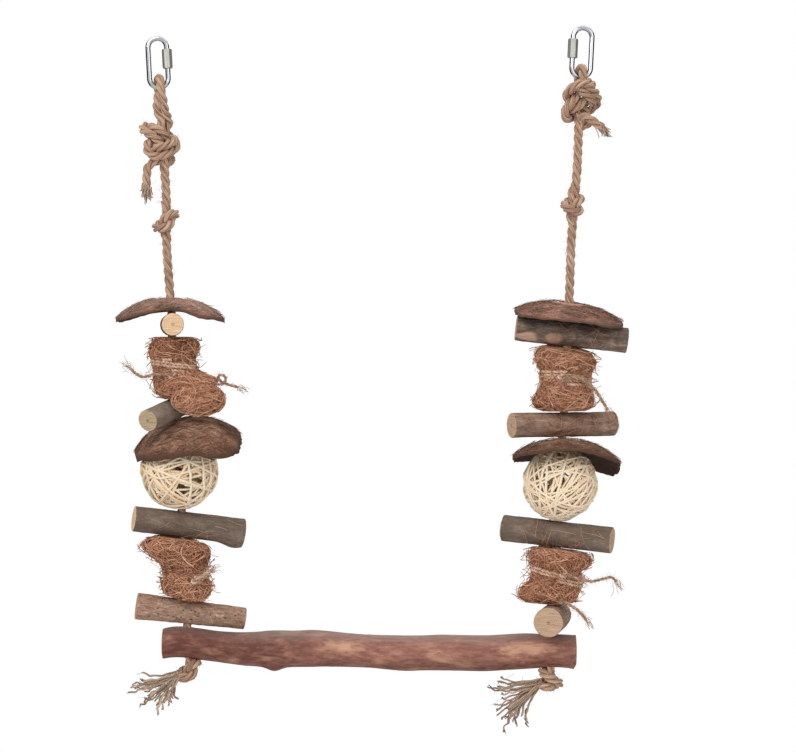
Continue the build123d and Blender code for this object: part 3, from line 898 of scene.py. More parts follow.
def drawn_knot(ropes, loose, steps):
    """An overhand knot of one or two ropes side by side, drawn tight. Sizes are in rope diameters, with the
    rope's pull along Z. The loose knot shortens between its fixed ends while no two turns may overlap."""
    wide, deep = loose
    t = np.linspace(-2.15, 2.15, 400)
    loop = np.stack([(t**3 - 3 * t) * wide, (t**4 - 4 * t**2) * wide, (t**5 / 5 - 2 * t) * deep], axis=1)
    ends = np.array([[0, 0, loop[0, 2] - 6], [0, 0, loop[-1, 2] + 6]])
    loop = evenly(np.concatenate([ends[:1], loop, ends[1:]]), 0.45)
    across, _ = cross_ways(loop)
    lines = [loop + across * 0.52 * side for side in ((0,) if ropes == 1 else (-1, 1))]
    size = len(loop)
    owner = np.repeat(np.arange(ropes), size)
    order = np.tile(np.arange(size), ropes)
    tip = (order == 0) | (order == size - 1)
    inner = np.flatnonzero(~tip)
    links = [np.flatnonzero((order % 2 == odd) & (order < size - 1)) for odd in (0, 1)]
    for _ in range(steps):
        lines = [counted(line, size) for line in lines]
        rest = np.repeat([run_of(line)[-1] / (size - 1) * 0.992 for line in lines], size)
        points = np.concatenate(lines)
        held = points[tip].copy()
        alike = owner[:, None] == owner[None]
        beside = alike & (abs(order[:, None] - order[None]) * rest.min() < 1.6)
        square = (points**2).sum(axis=1)
        apart = square[:, None] + square[None] - 2 * points @ points.T
        one, two = np.nonzero(np.triu((apart < 1.6) & ~beside))
        for _ in range(18):
            for link in links:
                gap = points[link + 1] - points[link]
                move = gap * (0.5 - 0.5 * rest[link] / np.linalg.norm(gap, axis=1))[:, None]
                points[link] += move
                points[link + 1] -= move
            points[inner] += 0.12 * (points[inner - 1] + points[inner + 1] - 2 * points[inner])
            gap = points[one] - points[two]
            far = np.linalg.norm(gap, axis=1) + 1e-9
            hit = far < 1
            push = gap * np.where(hit, 0.5 / far - 0.5, 0)[:, None]
            shove = np.zeros_like(points)
            np.add.at(shove, one, push)
            np.add.at(shove, two, -push)
            hits = np.bincount(np.concatenate([one[hit], two[hit]]), minlength=len(points))
            points += shove / np.sqrt(np.maximum(hits, 1))[:, None]
            points[tip] = held
        lines = list(points.reshape(ropes, size, 3))
    return upright_knot(np.array(lines))


def upright_knot(lines):
    """A knot with its middle at the origin and its ends up and down Z, cut off clear of its turns."""
    points = lines.reshape(-1, 3)
    apart = np.linalg.norm(points[:, None] - points[None], axis=2)
    crowd = (apart < 1.6).sum(axis=1)
    lines = lines - points[crowd > np.percentile(crowd, 60)].mean(axis=0)
    near = np.linalg.norm(lines, axis=2) < 4
    first = np.mean([line[mark.argmax()] for line, mark in zip(lines, near)], axis=0)
    last = np.mean([line[::-1][mark[::-1].argmax()] for line, mark in zip(lines, near)], axis=0)
    up = (last - first) / np.linalg.norm(last - first)
    right = np.cross((0, 1, 0), up)
    right /= np.linalg.norm(right)
    lines = lines @ np.stack([right, np.cross(up, right), up]).T
    return [line[mark.argmax() : len(mark) - mark[::-1].argmax()] for line, mark in zip(lines, near)]


# Camera, light and floor


def long_lens():
    """A long lens straight in front."""
    lens = bpy.data.cameras.new("camera")
    lens.sensor_width = 36.0
    lens.lens = 96.5
    camera = linked("camera", lens)
    camera.location = (0.021, -1.6, -0.2551)
    camera.rotation_euler = (radians(90), 0, 0)
    bpy.context.scene.camera = camera


def soft_lights():
    """A big soft light on each side and one from above: place, turn, width and power."""
    for name, place, turn, wide, power in (
        ("key", (-0.9, -1.5, 0.9), (radians(58), 0, radians(-31)), 1.3, 21.0),
        ("fill", (1.1, -1.5, 0.2), (radians(80), 0, radians(37)), 1.4, 9.0),
        ("top", (0.0, 0.3, 1.0), (0, 0, 0), 1.6, 6.0),
    ):
        lamp = bpy.data.lights.new(name, "AREA")
        lamp.size = wide
        lamp.energy = power
        light = linked(name, lamp)
        light.location = place
        light.rotation_euler = turn


def white_room():
    """A room that lights softly from all round, and looks white behind the object and in mirrors."""
    world = bpy.data.worlds.new("white_room")
    world.use_nodes = True
    tree = world.node_tree
    tree.nodes.clear()
    ray = add(tree, "ShaderNodeLightPath")
    seen = add(
        tree,
        "ShaderNodeMath",
        {0: ray.outputs["Is Camera Ray"], 1: ray.outputs["Is Glossy Ray"]},
        operation="MAXIMUM",
    )
    shown = add(
        tree,
        "ShaderNodeMath",
        {0: seen.outputs[0], 1: ray.outputs["Is Transmission Ray"]},
        operation="MAXIMUM",
    )
    soft = add(tree, "ShaderNodeBackground", {"Color": (1, 1, 1, 1), "Strength": 0.45})
    white = add(tree, "ShaderNodeBackground", {"Color": (1, 1, 1, 1), "Strength": 1.0})
    both = add(
        tree,
        "ShaderNodeMixShader",
        {0: shown.outputs[0], 1: soft.outputs[0], 2: white.outputs[0]},
    )
    add(tree, "ShaderNodeOutputWorld", {"Surface": both.outputs[0]})
    bpy.context.scene.world = world


def paper_floor():
    """A sheet of pale matt paper, well below the object."""
    finish, tree = blank_finish("pale_paper")
    place = add(tree, "ShaderNodeTexCoord").outputs["Object"]
    # Paper tooth 4 mm wide.
    tooth = add(tree, "ShaderNodeTexNoise", {"Vector": place, "Scale": 250.0})
    colour = add(
        tree,
        "ShaderNodeValToRGB",
        {"Fac": tooth.outputs["Fac"]},
        stops=((0.3, "#f4f4f3"), (0.7, "#fbfbfa")),
    )
    close_finish(tree, colour.outputs[0], None, **{"Roughness": 0.9})
    mesh = bpy.data.meshes.new("floor")
    reach, level = 1.8, -0.9
    mesh.from_pydata(
        [(-reach, -reach, level), (reach, -reach, level), (reach, reach, level), (-reach, reach, level)],
        [],
        [(0, 1, 2, 3)],
    )
    mesh.materials.append(finish)
    linked("floor", mesh)


def black_flag(sign):
    """A black card out at one side that only bright metal mirrors, for the links' dark edges."""
    finish, tree = blank_finish("black_card")
    close_finish(tree, paint("#0c0c0c"), None, **{"Roughness": 1.0, "Specular IOR Level": 0.0})
    mesh = bpy.data.meshes.new("black_flag")
    far = sign * 1.3
    front, back, low, high = -0.9, 1.6, -0.8, 0.7
    mesh.from_pydata(
        [(far, front, low), (far, back, low), (far, back, high), (far, front, high)],
        [],
        [(0, 1, 2, 3)],
    )
    mesh.materials.append(finish)
    card = linked("black_flag", mesh)
    card.visible_camera = False
    card.visible_diffuse = False
    card.visible_shadow = False


long_lens()
soft_lights()
white_room()
paper_floor()
for flag_sign in (-1, 1):
    black_flag(flag_sign)


# Ropes


class Line:
    """One side's rope: its line from the link's bow to the perch, and the heights where things change."""

    def __init__(self, side):
        self.side = side
        self.middle, self.up = place_of(f"{side}_vine_ball_spin")
        bow, along = place_of("swing")
        ways = np.stack([along, -self.up], axis=1)
        self.bow = bow + along * np.linalg.lstsq(ways, self.middle - bow, rcond=None)[0][0]
        self.bend = place_of(f"{side}_sway")[0]
        rope_low = corners(f"{side}_rope")[0][2]
        end_high = corners(f"{side}_rope_end")[1][2]
        self.foot_bend = self.at((rope_low + end_high) / 2)
        self.knot = sum(corners(f"{side}_top_knot")) / 2
        self.stop = sum(corners(f"{side}_stop_knot")) / 2
        self.crown = place_of(f"{side}_upper_shell_spin")[0]
        self.right = np.cross((0, 1, 0), self.up)

    def at(self, height):
        """The rope's point at a height."""
        return self.middle + self.up * (height - self.middle[2]) / self.up[2]

    def off(self, place, right=0.0, back=0.0, up=0.0):
        """A point beside another one, in millimetres to the right, to the back and up the rope."""
        return place + MM * (self.right * right + np.array((0, back, 0)) + self.up * up)


LINES = {side: Line(side) for side in SIDES}
SINGLE_KNOT = drawn_knot(ropes=1, loose=(1.45, 0.62), steps=200)
DOUBLE_KNOT = drawn_knot(ropes=2, loose=(2.6, 1.25), steps=260)


def set_knot(line, middle, lines, size, turn, flip=1):
    """A knot's ropes at a place on a rope, scaled from rope diameters, turned about the rope."""
    spots = []
    for path in lines:
        x, y, z = path.T * size
        across = flip * (x * cos(turn) - y * sin(turn))
        back = x * sin(turn) + y * cos(turn)
        aside = np.outer(across, line.right) + np.outer(back, (0, 1, 0))
        spots.append(middle + aside + np.outer(z, line.up))
    return spots


def rope_piece(name, path, diameter=ROPE):
    """A laid rope along a path."""
    laid, radius = laid_rope(path, diameter)
    return strands(name, [(laid, radius, (0.45, 0.6, 0.52))], JUTE, sides=8)


def rope_fuzz(name, path, count, diameter=ROPE):
    """The hairs that stand off a rope."""
    hairs = stray_hairs([evenly(path, diameter / 4)], diameter * 0.46, count, length=4.5 * MM)
    return strands(name, [(hairs, 0.07 * MM, CHANCE.uniform(0.3, 1.0, len(hairs)))], JUTE, sides=3)


def rope_run(line):
    """The rope from under the top knot, through the stop knot and everything strung on it, to the lower
    coir bundle."""
    bare = [
        line.off(line.knot, up=-9),
        line.off(line.bend, right=0.4),
        line.off((line.bend + line.stop) / 2, right=1.0, back=0.5),
        line.stop,
        line.off((line.stop * 2 + line.crown) / 3, right=-0.9),
        line.off((line.stop + line.crown * 2) / 3, right=-0.5, back=-0.6),
        line.crown,
        line.off(line.middle, right=0.2),
        line.off(line.foot_bend, up=1),
    ]
    path = smooth_path(bare)
    rope = rope_piece(f"{line.side}_rope_run", path)
    fuzz = rope_fuzz(f"{line.side}_rope_fuzz", path[: len(path) * 2 // 3], count=300)
    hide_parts(f"{line.side}_rope")
    for piece in (rope, fuzz):
        line.off(line.bend, up=5)
        line.off(line.bend, up=-5)
        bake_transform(piece)


for side_line in LINES.values():
    rope_run(side_line)


# Top knots: the rope goes up through the knot, over the link's bow and back through the knot to its tail.


def leaving(path, reach):
    """The part of a knot's rope within a reach of its middle, in rope diameters."""
    inside = np.flatnonzero(np.abs(path[:, 2]) < reach)
    return path[inside[0] : inside[-1] + 1]


def frayed_tuft(root, way, count, reach, spread, thick=1.0):
    """Yarns that fan out from a rope's cut end, and their radii."""
    way = np.array(way, float) / np.linalg.norm(way)
    tuft = []
    for _ in range(count):
        lean = CHANCE.normal(0, spread, 3)
        far = reach * CHANCE.uniform(0.5, 1.0)
        start = root + CHANCE.normal(0, 1.4 * MM, 3)
        marks = np.linspace(0, 1, 7)[:, None]
        droop = np.array((0, 0, -0.2)) * marks**2
        tuft.append(start + far * ((way + lean * marks) * marks + droop + CHANCE.normal(0, 0.02, (7, 3))))
    return tuft, CHANCE.uniform(0.6, 1.0, count) * thick


def top_knot(line, size, turn, flip, legs, tail):
    """The knot under a link, with its eye over the bow and its frayed tail. Size is what one rope diameter
    of the drawn knot measures, legs how far the eye's legs lean to the right and left, in millimetres."""
    side = line.side
    first, second = [leaving(path, 2.5) for path in DOUBLE_KNOT]
    first, second = set_knot(line, line.knot, (first, second), size, turn, flip)
    # One leg of the eye, upwards: its share of the lean, how far it stands off the bow and its height over
    # it. A leg that has far to go starts with two points more.
    leg = [(0.55, 6.3, -4), (0.45, 5.605, 4.0), (0.3, 2.4, 6.8)]
    lean, apart, height = leg[0]
    start = line.off(line.bow, right=legs * lean, back=-apart, up=height)
    if np.linalg.norm(first[-1] - start) > 14 * MM:
        leg = [(1.0, 1.5, -17), (0.9, 4.6, -10), *leg]
    front = [line.off(line.bow, right=legs * lean, back=-apart, up=up) for lean, apart, up in leg]
    back = [line.off(line.bow, right=-legs * lean, back=apart, up=up) for lean, apart, up in leg[::-1]]
    foot = [line.off(line.knot, up=-24), line.off(line.knot, up=-19)]
    route = [*foot, *first[::3], *front, *back, *second[::-3], *tail]
    path = smooth_path(route)
    path = path[np.argmax(run_of(path) > 4 * MM) :]
    rope = rope_piece(f"{side}_top_knot_rope", path, KNOTTED_ROPE)
    fuzz = rope_fuzz(f"{side}_top_knot_fuzz", path, count=380, diameter=KNOTTED_ROPE)
    way = tail[-1] - tail[-2]
    cut = tail[-1] - way * 0.1
    tuft, thick = frayed_tuft(cut, way, count=70, reach=6 * MM, spread=0.35, thick=0.42 * MM)
    shades = CHANCE.uniform(0.2, 1, len(tuft))
    brush = strands(f"{side}_tail_brush", [(tuft, thick, shades)], FRAYED, sides=4)
    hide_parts(f"{side}_rope_eye", f"{side}_top_knot", f"{side}_top_tail")
    for piece in (rope, fuzz, brush):
        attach(piece, "rope_eyes")


def photo_route(*spots):
    """Places by the photograph's pixels, across and down, and by millimetres behind the ropes' plane."""
    middle, top = PHOTO_ORIGIN
    route = [
        ((across - middle) * PHOTO_SCALE, back, (top - down) * PHOTO_SCALE) for across, down, back in spots
    ]
    return np.array(route) * MM


def small_knot(line, node, middle, size, turn, body, foot=None):
    """An overhand knot in the rope, which runs straight on below it or out to its foot."""
    turns = set_knot(line, middle, [leaving(SINGLE_KNOT[0], 1.5)], size, turn)[0]
    away = line.up * size * 2.4
    route = [middle - away if foot is None else foot, *turns[::3], middle + away]
    path = smooth_path(route)
    rope = rope_piece(f"{node}_rope", path, KNOTTED_ROPE)
    fuzz = rope_fuzz(f"{node}_rope_fuzz", path, count=90, diameter=KNOTTED_ROPE)
    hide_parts(node)
    for piece in (rope, fuzz):
        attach(piece, body)


left, right = LINES["left"], LINES["right"]
top_knot(
    left,
    size=6.3 * MM,
    turn=radians(45),
    flip=-1,
    legs=3.1,
    tail=photo_route((149, 164, -4), (147, 176, -4), (147, 190, -3)),
)
top_knot(
    right,
    size=6.6 * MM,
    turn=radians(300),
    flip=1,
    legs=2.5,
    tail=photo_route((583, 117, -7), (592, 122, -8), (601, 129, -8)),
)
for stop_line, stop_turn in ((left, 20), (right, 80)):
    small_knot(
        stop_line,
        f"{stop_line.side}_stop_knot",
        stop_line.stop,
        size=6.3 * MM,
        turn=radians(stop_turn),
        body=f"{stop_line.side}_rope",
    )


# Rope ends: through the perch, with a knot and an unlaid fringe under it.


def rope_foot(line, turn, fans):
    """The rope from the lower coir bundle down through the perch, its knot and its fringe. A fan of three
    yarns is how far they reach, in millimetres, and their angle to the left of straight down."""
    side = line.side
    knot = f"{side}_bottom_knot"
    low, high = corners(knot)
    middle = (low + high) / 2
    path = np.stack([line.off(line.foot_bend, up=-1), line.at(low[2])])
    rope = rope_piece(f"{side}_rope_foot", evenly(path, 2 * MM))
    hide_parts(f"{side}_rope_end")
    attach(rope, "perch")
    root = np.array((low[0], middle[1] - 2 * MM, low[2] + 2.5 * MM))
    small_knot(line, knot, middle, 5.7 * MM, turn, "perch", foot=root)
    yarns, thick, tips, tip_thick = [], [], [], []
    mean = radians(np.mean([angle for _, angle in fans]))
    trunk = np.array((-sin(mean), 0, -cos(mean)))
    marks = np.linspace(0, 1, 18)[:, None]
    for reach, angle in fans:
        for _ in range(3):
            tilt = radians(angle + CHANCE.normal(0, 5))
            way = np.array((-sin(tilt), CHANCE.normal(0, 0.2), -cos(tilt)))
            far = reach * MM * CHANCE.uniform(0.7, 1.05)
            bend = marks * (1 - marks) * CHANCE.uniform(0.4, 0.9)
            phase = CHANCE.uniform(0, 2 * pi, 3)
            # The yarns keep the crimp of the rope's lay, a wave about every 11 mm.
            wave = CHANCE.uniform(9, 14) * MM
            crimp = np.sin(2 * pi * marks * far / wave + phase) * 0.65 * MM * marks**0.6
            start = root - trunk * 3 * MM + CHANCE.normal(0, 1.3 * MM, 3)
            yarn = start + far * (trunk * bend + way * marks) + crimp
            yarns.append(yarn[:17])
            thick.append(CHANCE.uniform(0.55, 0.9) * MM)
            # Each ends in three thin tips.
            end = yarn[14:]
            for _ in range(3):
                spread = CHANCE.normal(0, 0.025, 3) * far * (marks[: len(end)] * 4)
                tips.append(end + spread)
                tip_thick.append(CHANCE.uniform(0.25, 0.45) * MM)
    hairs = stray_hairs(yarns, 0.5 * MM, count=120, length=6 * MM)
    fringe = strands(
        f"{side}_fringe_yarns",
        [
            (yarns, thick, CHANCE.uniform(0.25, 0.9, len(yarns))),
            (tips, tip_thick, CHANCE.uniform(0.0, 0.35, len(tips))),
            (hairs, 0.09 * MM, 0.3),
        ],
        FRAYED,
        sides=5,
    )
    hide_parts(f"{side}_fringe")
    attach(fringe, "perch")


rope_foot(
    left,
    turn=radians(30),
    fans=((38, 86), (40, 77), (41, 68), (40, 59), (38, 50), (33, 41), (34, 28), (30, 17), (24, 4)),
)
rope_foot(
    right,
    turn=radians(200),
    fans=((40, 88), (42, 80), (38, 72), (41, 63), (43, 54), (44, 46), (46, 38), (40, 30), (36, 20)),
)


# Husk shells


def own_frame(joint):
    """A strung piece's place and its own right, back and up."""
    place, up = place_of(joint)
    right = np.array((1.0, 0, 0)) - up * up[0]
    right /= np.linalg.norm(right)
    return place, np.stack([right, np.cross(up, right), up])


def husk_shell(side, level, finish, fibre, seed, bulges):
    """A piece of coconut shell over its sphere, with a ragged rim, raised husk fibres and stray ones,
    worked out in millimetres. A bulge of its outline is how much further it reaches there, at which turn
    and how widely."""
    node = f"{side}_{level}_shell"
    place, ways = own_frame(f"{node}_spin")
    local = (cad_points(node) - place) @ ways.T / MM
    shift = (local[:, 0].max() + local[:, 0].min()) / 2
    reach, depth = local[:, 0].max() - shift, np.abs(local[:, 1]).max()
    tip = local[local[:, 0] > shift + reach * 0.97]
    crest = tip[tip[:, 2].argmax()]
    radius = crest @ crest / (2 * abs(crest[2]))
    wall = (tip[:, 2].max() - tip[:, 2].min()) * 0.75
    hole = 4.6  # radius
    crown = 13  # kept free of stray fibres, because a stick turns on the lower shells
    rings = 30

    def drop(across, back):
        """How far the sphere has fallen below the crown."""
        return np.sqrt(radius**2 - np.minimum(across**2 + back**2, radius**2 * 0.95)) - radius

    turns = np.linspace(0, 2 * pi, 160, endpoint=False)
    ring = np.stack([np.cos(turns), np.sin(turns), np.zeros_like(turns)], axis=1)
    rag = 1 + 0.03 * grain_field(ring, 2.2, seed) + 0.025 * grain_field(ring, 9, seed + 1)
    rag = np.minimum(rag - 0.008, 1.0)
    # Blunter than an oval: the ends of the piece are broken off square.
    rag = rag * (np.abs(np.cos(turns)) ** 2.5 + np.abs(np.sin(turns)) ** 2.5) ** (-1 / 2.5)
    for more, turn, wide in bulges:
        rag = rag * (1 + more * np.exp(-(((turns - turn) / wide) ** 2)))
    shares = np.linspace(0, 1, rings)[:, None]
    across = (1 - shares) * hole * np.cos(turns) + shares * (shift + rag * reach * np.cos(turns))
    back = (1 - shares) * hole * np.sin(turns) + shares * rag * depth * np.sin(turns)
    outer = np.stack([across, back, drop(across, back)], axis=2)
    combed = outer * np.array((0.09, 0.5, 0.5))
    ridges = 0.4 * grain_field(combed, 1.0, seed + 2) + 0.3 * grain_field(combed, 2.6, seed + 3)
    lumps = 0.8 * grain_field(outer, 0.06, seed + 4)
    # A stick turns on a lower shell's crown, so the husk hardly rises above the sphere.
    outer[:, :, 2] += np.minimum(ridges + lumps - 0.5, 0.15)
    thin = wall * (1 - 0.5 * shares**3 * np.abs(np.sin(turns))) + 0.4 * grain_field(outer, 0.2, seed + 5)
    inner = outer - np.stack([0 * thin, 0 * thin, thin + ridges * 0.6], axis=2)
    rows = np.concatenate([outer, inner[::-1]])
    flat = np.ones(outer.shape[:2])
    hollow = np.concatenate([0 * flat, flat])
    edge = np.concatenate([shares * flat, (shares * flat)[::-1]])
    rim = 0.6 * (edge > 0.985)
    piece = skin_mesh(
        f"{node}_husk",
        place + (rows * MM) @ ways,
        [finish],
        ends=False,
        values={"skin": rows, "hollow": hollow, "edge": edge, "rim": rim},
        sharp=(rings - 1, rings),
    )
    fibres, tones = [], []
    for _ in range(520):
        spin, far = CHANCE.uniform(0, 2 * pi), sqrt(CHANCE.uniform(0.05, 1.0))
        run = CHANCE.uniform(5, 17)
        slant = radians(CHANCE.choice((-28, 24)) + CHANCE.normal(0, 16))
        steps = np.linspace(-0.5, 0.5, 7)
        bend = CHANCE.normal(0, 0.16) * steps**2 * run
        xs = shift + far * reach * cos(spin) + steps * run * cos(slant) - bend * sin(slant)
        ys = far * depth * sin(spin) + steps * run * sin(slant) + bend * cos(slant)
        lift = 0.35 + abs(CHANCE.normal(0, 0.9)) * np.linspace(0, 1, 7) ** 2
        keep = (((xs - shift) / reach) ** 2 + (ys / depth) ** 2 < 1.09) & (xs**2 + ys**2 > crown**2)
        if keep.sum() < 4:
            continue
        spots = np.stack([xs, ys, drop(xs, ys) + lift], axis=1)[keep]
        fibres.append(place + (spots * MM) @ ways)
        tones.append(CHANCE.uniform(0, 1))
    strays = strands(f"{node}_fibres", [(fibres, 0.12 * MM, tones)], fibre, sides=3)
    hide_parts(node)
    for part in (piece, strays):
        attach(part, node)


husk_shell(
    "left", "upper", UPPER_HUSK, FRAYED, seed=3, bulges=[(0.08, 1.33 * pi, 0.3), (0.08, 1.67 * pi, 0.3)]
)
husk_shell("left", "lower", LOWER_HUSK, HUSK_HAIR, seed=11, bulges=[(0.2, 1.56 * pi, 0.75)])
husk_shell("right", "upper", UPPER_HUSK, HUSK_HAIR, seed=23, bulges=[(0.15, 1.5 * pi, 0.8)])
husk_shell("right", "lower", LOWER_HUSK, HUSK_HAIR, seed=31, bulges=[(0.14, 0.28 * pi, 0.5)])


# Branch sticks


def branch_stick(side, level, finish, end, seed, rough=0.3, taper=(1, 1), lumps=(), peeled=(), caught=0):
    """A sawn length of branch: bark that swells and furrows a little, and two sawn ends. Taper is the share
    of its radius at its two ends. A lump or a peeled patch is its place along the branch and round it, its
    height or strength, and its width, in millimetres and radians. Caught is how many loose coir fibres hang
    on its bark."""
    node = f"{side}_{level}_stick"
    place, up = place_of(f"{node}_spin")
    points = cad_points(node) - place
    long_way = np.linalg.eigh(points.T @ points)[1][:, 2]
    long_way = long_way if long_way[0] + 0.3 * long_way[1] > 0 else -long_way
    across = np.cross(up, long_way)
    across /= np.linalg.norm(across)
    lift = np.cross(long_way, across)
    low, high = (points @ long_way).min() / MM, (points @ long_way).max() / MM
    half, shift = (high - low) / 2, (high + low) / 2
    radius = np.abs(points @ lift).max() / MM
    turns = np.linspace(0, 2 * pi, 96, endpoint=False)
    caps = np.linspace(0.01, 0.95, 8)
    cap = len(caps)
    body = np.linspace(-half + 0.6, half - 0.6, 110)
    marks = np.concatenate([np.full(cap, -half), [-half + 0.2], body, [half - 0.2], np.full(cap, half)])
    sizes = np.concatenate([caps, [0.98], np.ones(len(body)), [0.98], caps[::-1]])
    sizes = sizes * np.interp(marks, (-half, half), taper)
    grid = np.stack(
        [
            np.cos(turns)[None] * radius * sizes[:, None],
            np.sin(turns)[None] * radius * sizes[:, None],
            np.repeat(marks[:, None], len(turns), axis=1),
        ],
        axis=2,
    )
    drawn = grid * np.array((1, 1, 0.25))
    move = 0.35 * grain_field(grid, 0.05, seed) - 0.3
    move += rough * (0.7 * grain_field(drawn, 0.4, seed + 1) + 0.5 * grain_field(drawn, 1.1, seed + 2))
    for along, turn, tall, wide in lumps:
        gap = (turns - turn + pi) % (2 * pi) - pi
        move += tall * np.exp(-(((marks - along) / wide) ** 2)[:, None] - (gap / 0.8)[None] ** 2)
    bare = np.zeros_like(move)
    for along, turn, strong, wide in peeled:
        gap = (turns - turn + pi) % (2 * pi) - pi
        far = (((marks - along) / wide) ** 2)[:, None] + (gap / 0.5)[None] ** 2
        bare += strong * np.clip(2.2 - 2 * far + 1.6 * grain_field(drawn, 0.3, seed + 5), 0, 1)
    weight = np.minimum(sizes, 1)[:, None] ** 2
    grid[:, :, :2] *= (1 + move / radius * weight)[:, :, None]
    saw = 0.18 * grain_field(grid * np.array((0.15, 1.1, 0)), 1.0, seed + 3)
    face = np.abs(marks) > half - 0.05
    grid[face, :, 2] += saw[face]
    world = place + MM * (
        grid[:, :, 0, None] * across
        + grid[:, :, 1, None] * lift
        + (grid[:, :, 2, None] + shift) * long_way
    )
    ends = face.astype(int)
    ends[-cap - 1] = 1
    piece = skin_mesh(
        f"{node}_branch",
        world[:, ::-1],
        [finish, end],
        ends,
        values={"skin": grid[:, ::-1], "bare": np.clip(bare, 0, 1)[:, ::-1]},
        sharp=(cap - 1, cap + 1, -cap, -cap - 2),
    )
    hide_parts(node)
    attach(piece, node)
    lines = []
    for _ in range(caught):
        slant, run = CHANCE.uniform(0, 2 * pi), CHANCE.uniform(6, 20)
        steps = np.linspace(-0.5, 0.5, 8) * run
        turn = CHANCE.uniform(0.75, 1.25) * pi + steps * sin(slant) / radius
        turn = np.clip(turn + CHANCE.normal(0, 0.003) * steps**2, 0.68 * pi, 1.32 * pi)
        along = shift + np.clip(CHANCE.normal(0, 0.42) * half + steps * cos(slant), -half, half)
        far = radius + 0.5 + abs(CHANCE.normal(0, 1.2)) * np.linspace(0, 1, 8) ** 2
        spots = np.stack([far * np.cos(turn), far * np.sin(turn), along], axis=1)
        lines.append(place + MM * spots @ np.stack([across, lift, long_way]))
    if lines:
        wires = strands(f"{node}_fibres", [(lines, 0.11 * MM, CHANCE.uniform(0, 1, caught))], COIR, sides=3)
        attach(wires, node)


# Young bark: smooth and grey, hardly furrowed.
GREY_BARK = bark(
    "grey_green_bark",
    ("#65564a", "#837163", "#938071", "#ab9a8b"),
    crack=7.0,
    furrow=0.05,
    lichen=0.25,
)
# Young bark too, darker.
OLIVE_BARK = bark(
    "olive_grey_bark",
    ("#4c4037", "#6a5b4e", "#78675b", "#958376"),
    crack=5.0,
    furrow=0.08,
    lichen=0.2,
)
# Older bark: warm brown, with furrows.
BROWN_BARK = bark(
    "brown_furrowed_bark",
    ("#5a4436", "#876c5b", "#a18370", "#c3a28d"),
    crack=4.0,
    furrow=0.1,
    lichen=0.3,
)
# Older bark: grey brown, darkest in its furrows.
DARK_BARK = bark(
    "dark_furrowed_bark",
    ("#483b33", "#6e5c51", "#897568", "#b19a8a"),
    crack=4.0,
    furrow=0.12,
    lichen=0.3,
)
# Tan bark with dark pits and much lichen.
PITTED_BARK = bark(
    "pitted_tan_bark",
    ("#60473a", "#93725e", "#b08d78", "#d6b7a2"),
    crack=2.2,
    furrow=0.06,
    lichen=0.6,
    pits=0.9,
)
# Turns round a stick.
DOWN, FRONT = 1.5 * pi, pi
branch_stick("left", "top", DARK_BARK, PALE_END, seed=41)
branch_stick("left", "middle", GREY_BARK, GREEN_END, seed=45, rough=0.18)
branch_stick(
    "left",
    "lower",
    OLIVE_BARK,
    PALE_END,
    seed=49,
    taper=(1.0, 1.03),
    lumps=((36, DOWN, 3.0, 9), (-12, FRONT, 0.8, 6)),
    caught=14,
)
branch_stick("left", "bottom", PITTED_BARK, DULL_END, seed=53, rough=0.5, taper=(1.14, 0.92), caught=8)
branch_stick(
    "right",
    "top",
    DARK_BARK,
    DULL_END,
    seed=57,
    rough=0.4,
    peeled=((-34, FRONT + 0.5, 1.0, 9), (-13, FRONT + 0.45, 0.9, 7)),
    caught=26,
)
branch_stick("right", "middle", BROWN_BARK, DULL_END, seed=61, caught=50)
branch_stick("right", "lower", OLIVE_BARK, DULL_END, seed=65, caught=34)
branch_stick("right", "bottom", BROWN_BARK, DULL_END, seed=69)


# The perch


PERCH_FACE = 0.4 * MM  # how far the bark stops short of the sawn faces


def perch_branch():
    """The CAD perch's middles and radii, felt beside its holes."""
    skin = cad_skin("perch")
    low, high = corners("perch")
    aside = 9 * MM
    flat = []
    for mark in np.linspace(low[0] + PERCH_FACE, high[0] - PERCH_FACE, 250):
        top = skin.ray_cast(Vector((mark, aside, 1)), Vector((0, 0, -1)))[0]
        under = skin.ray_cast(Vector((mark, aside, -1)), Vector((0, 0, 1)))[0]
        half = (top.z - under.z) / 2
        flat.append(((mark, 0, under.z + half), sqrt(half**2 + aside**2)))
    return np.array([middle for middle, _ in flat]), np.array([radius for _, radius in flat])


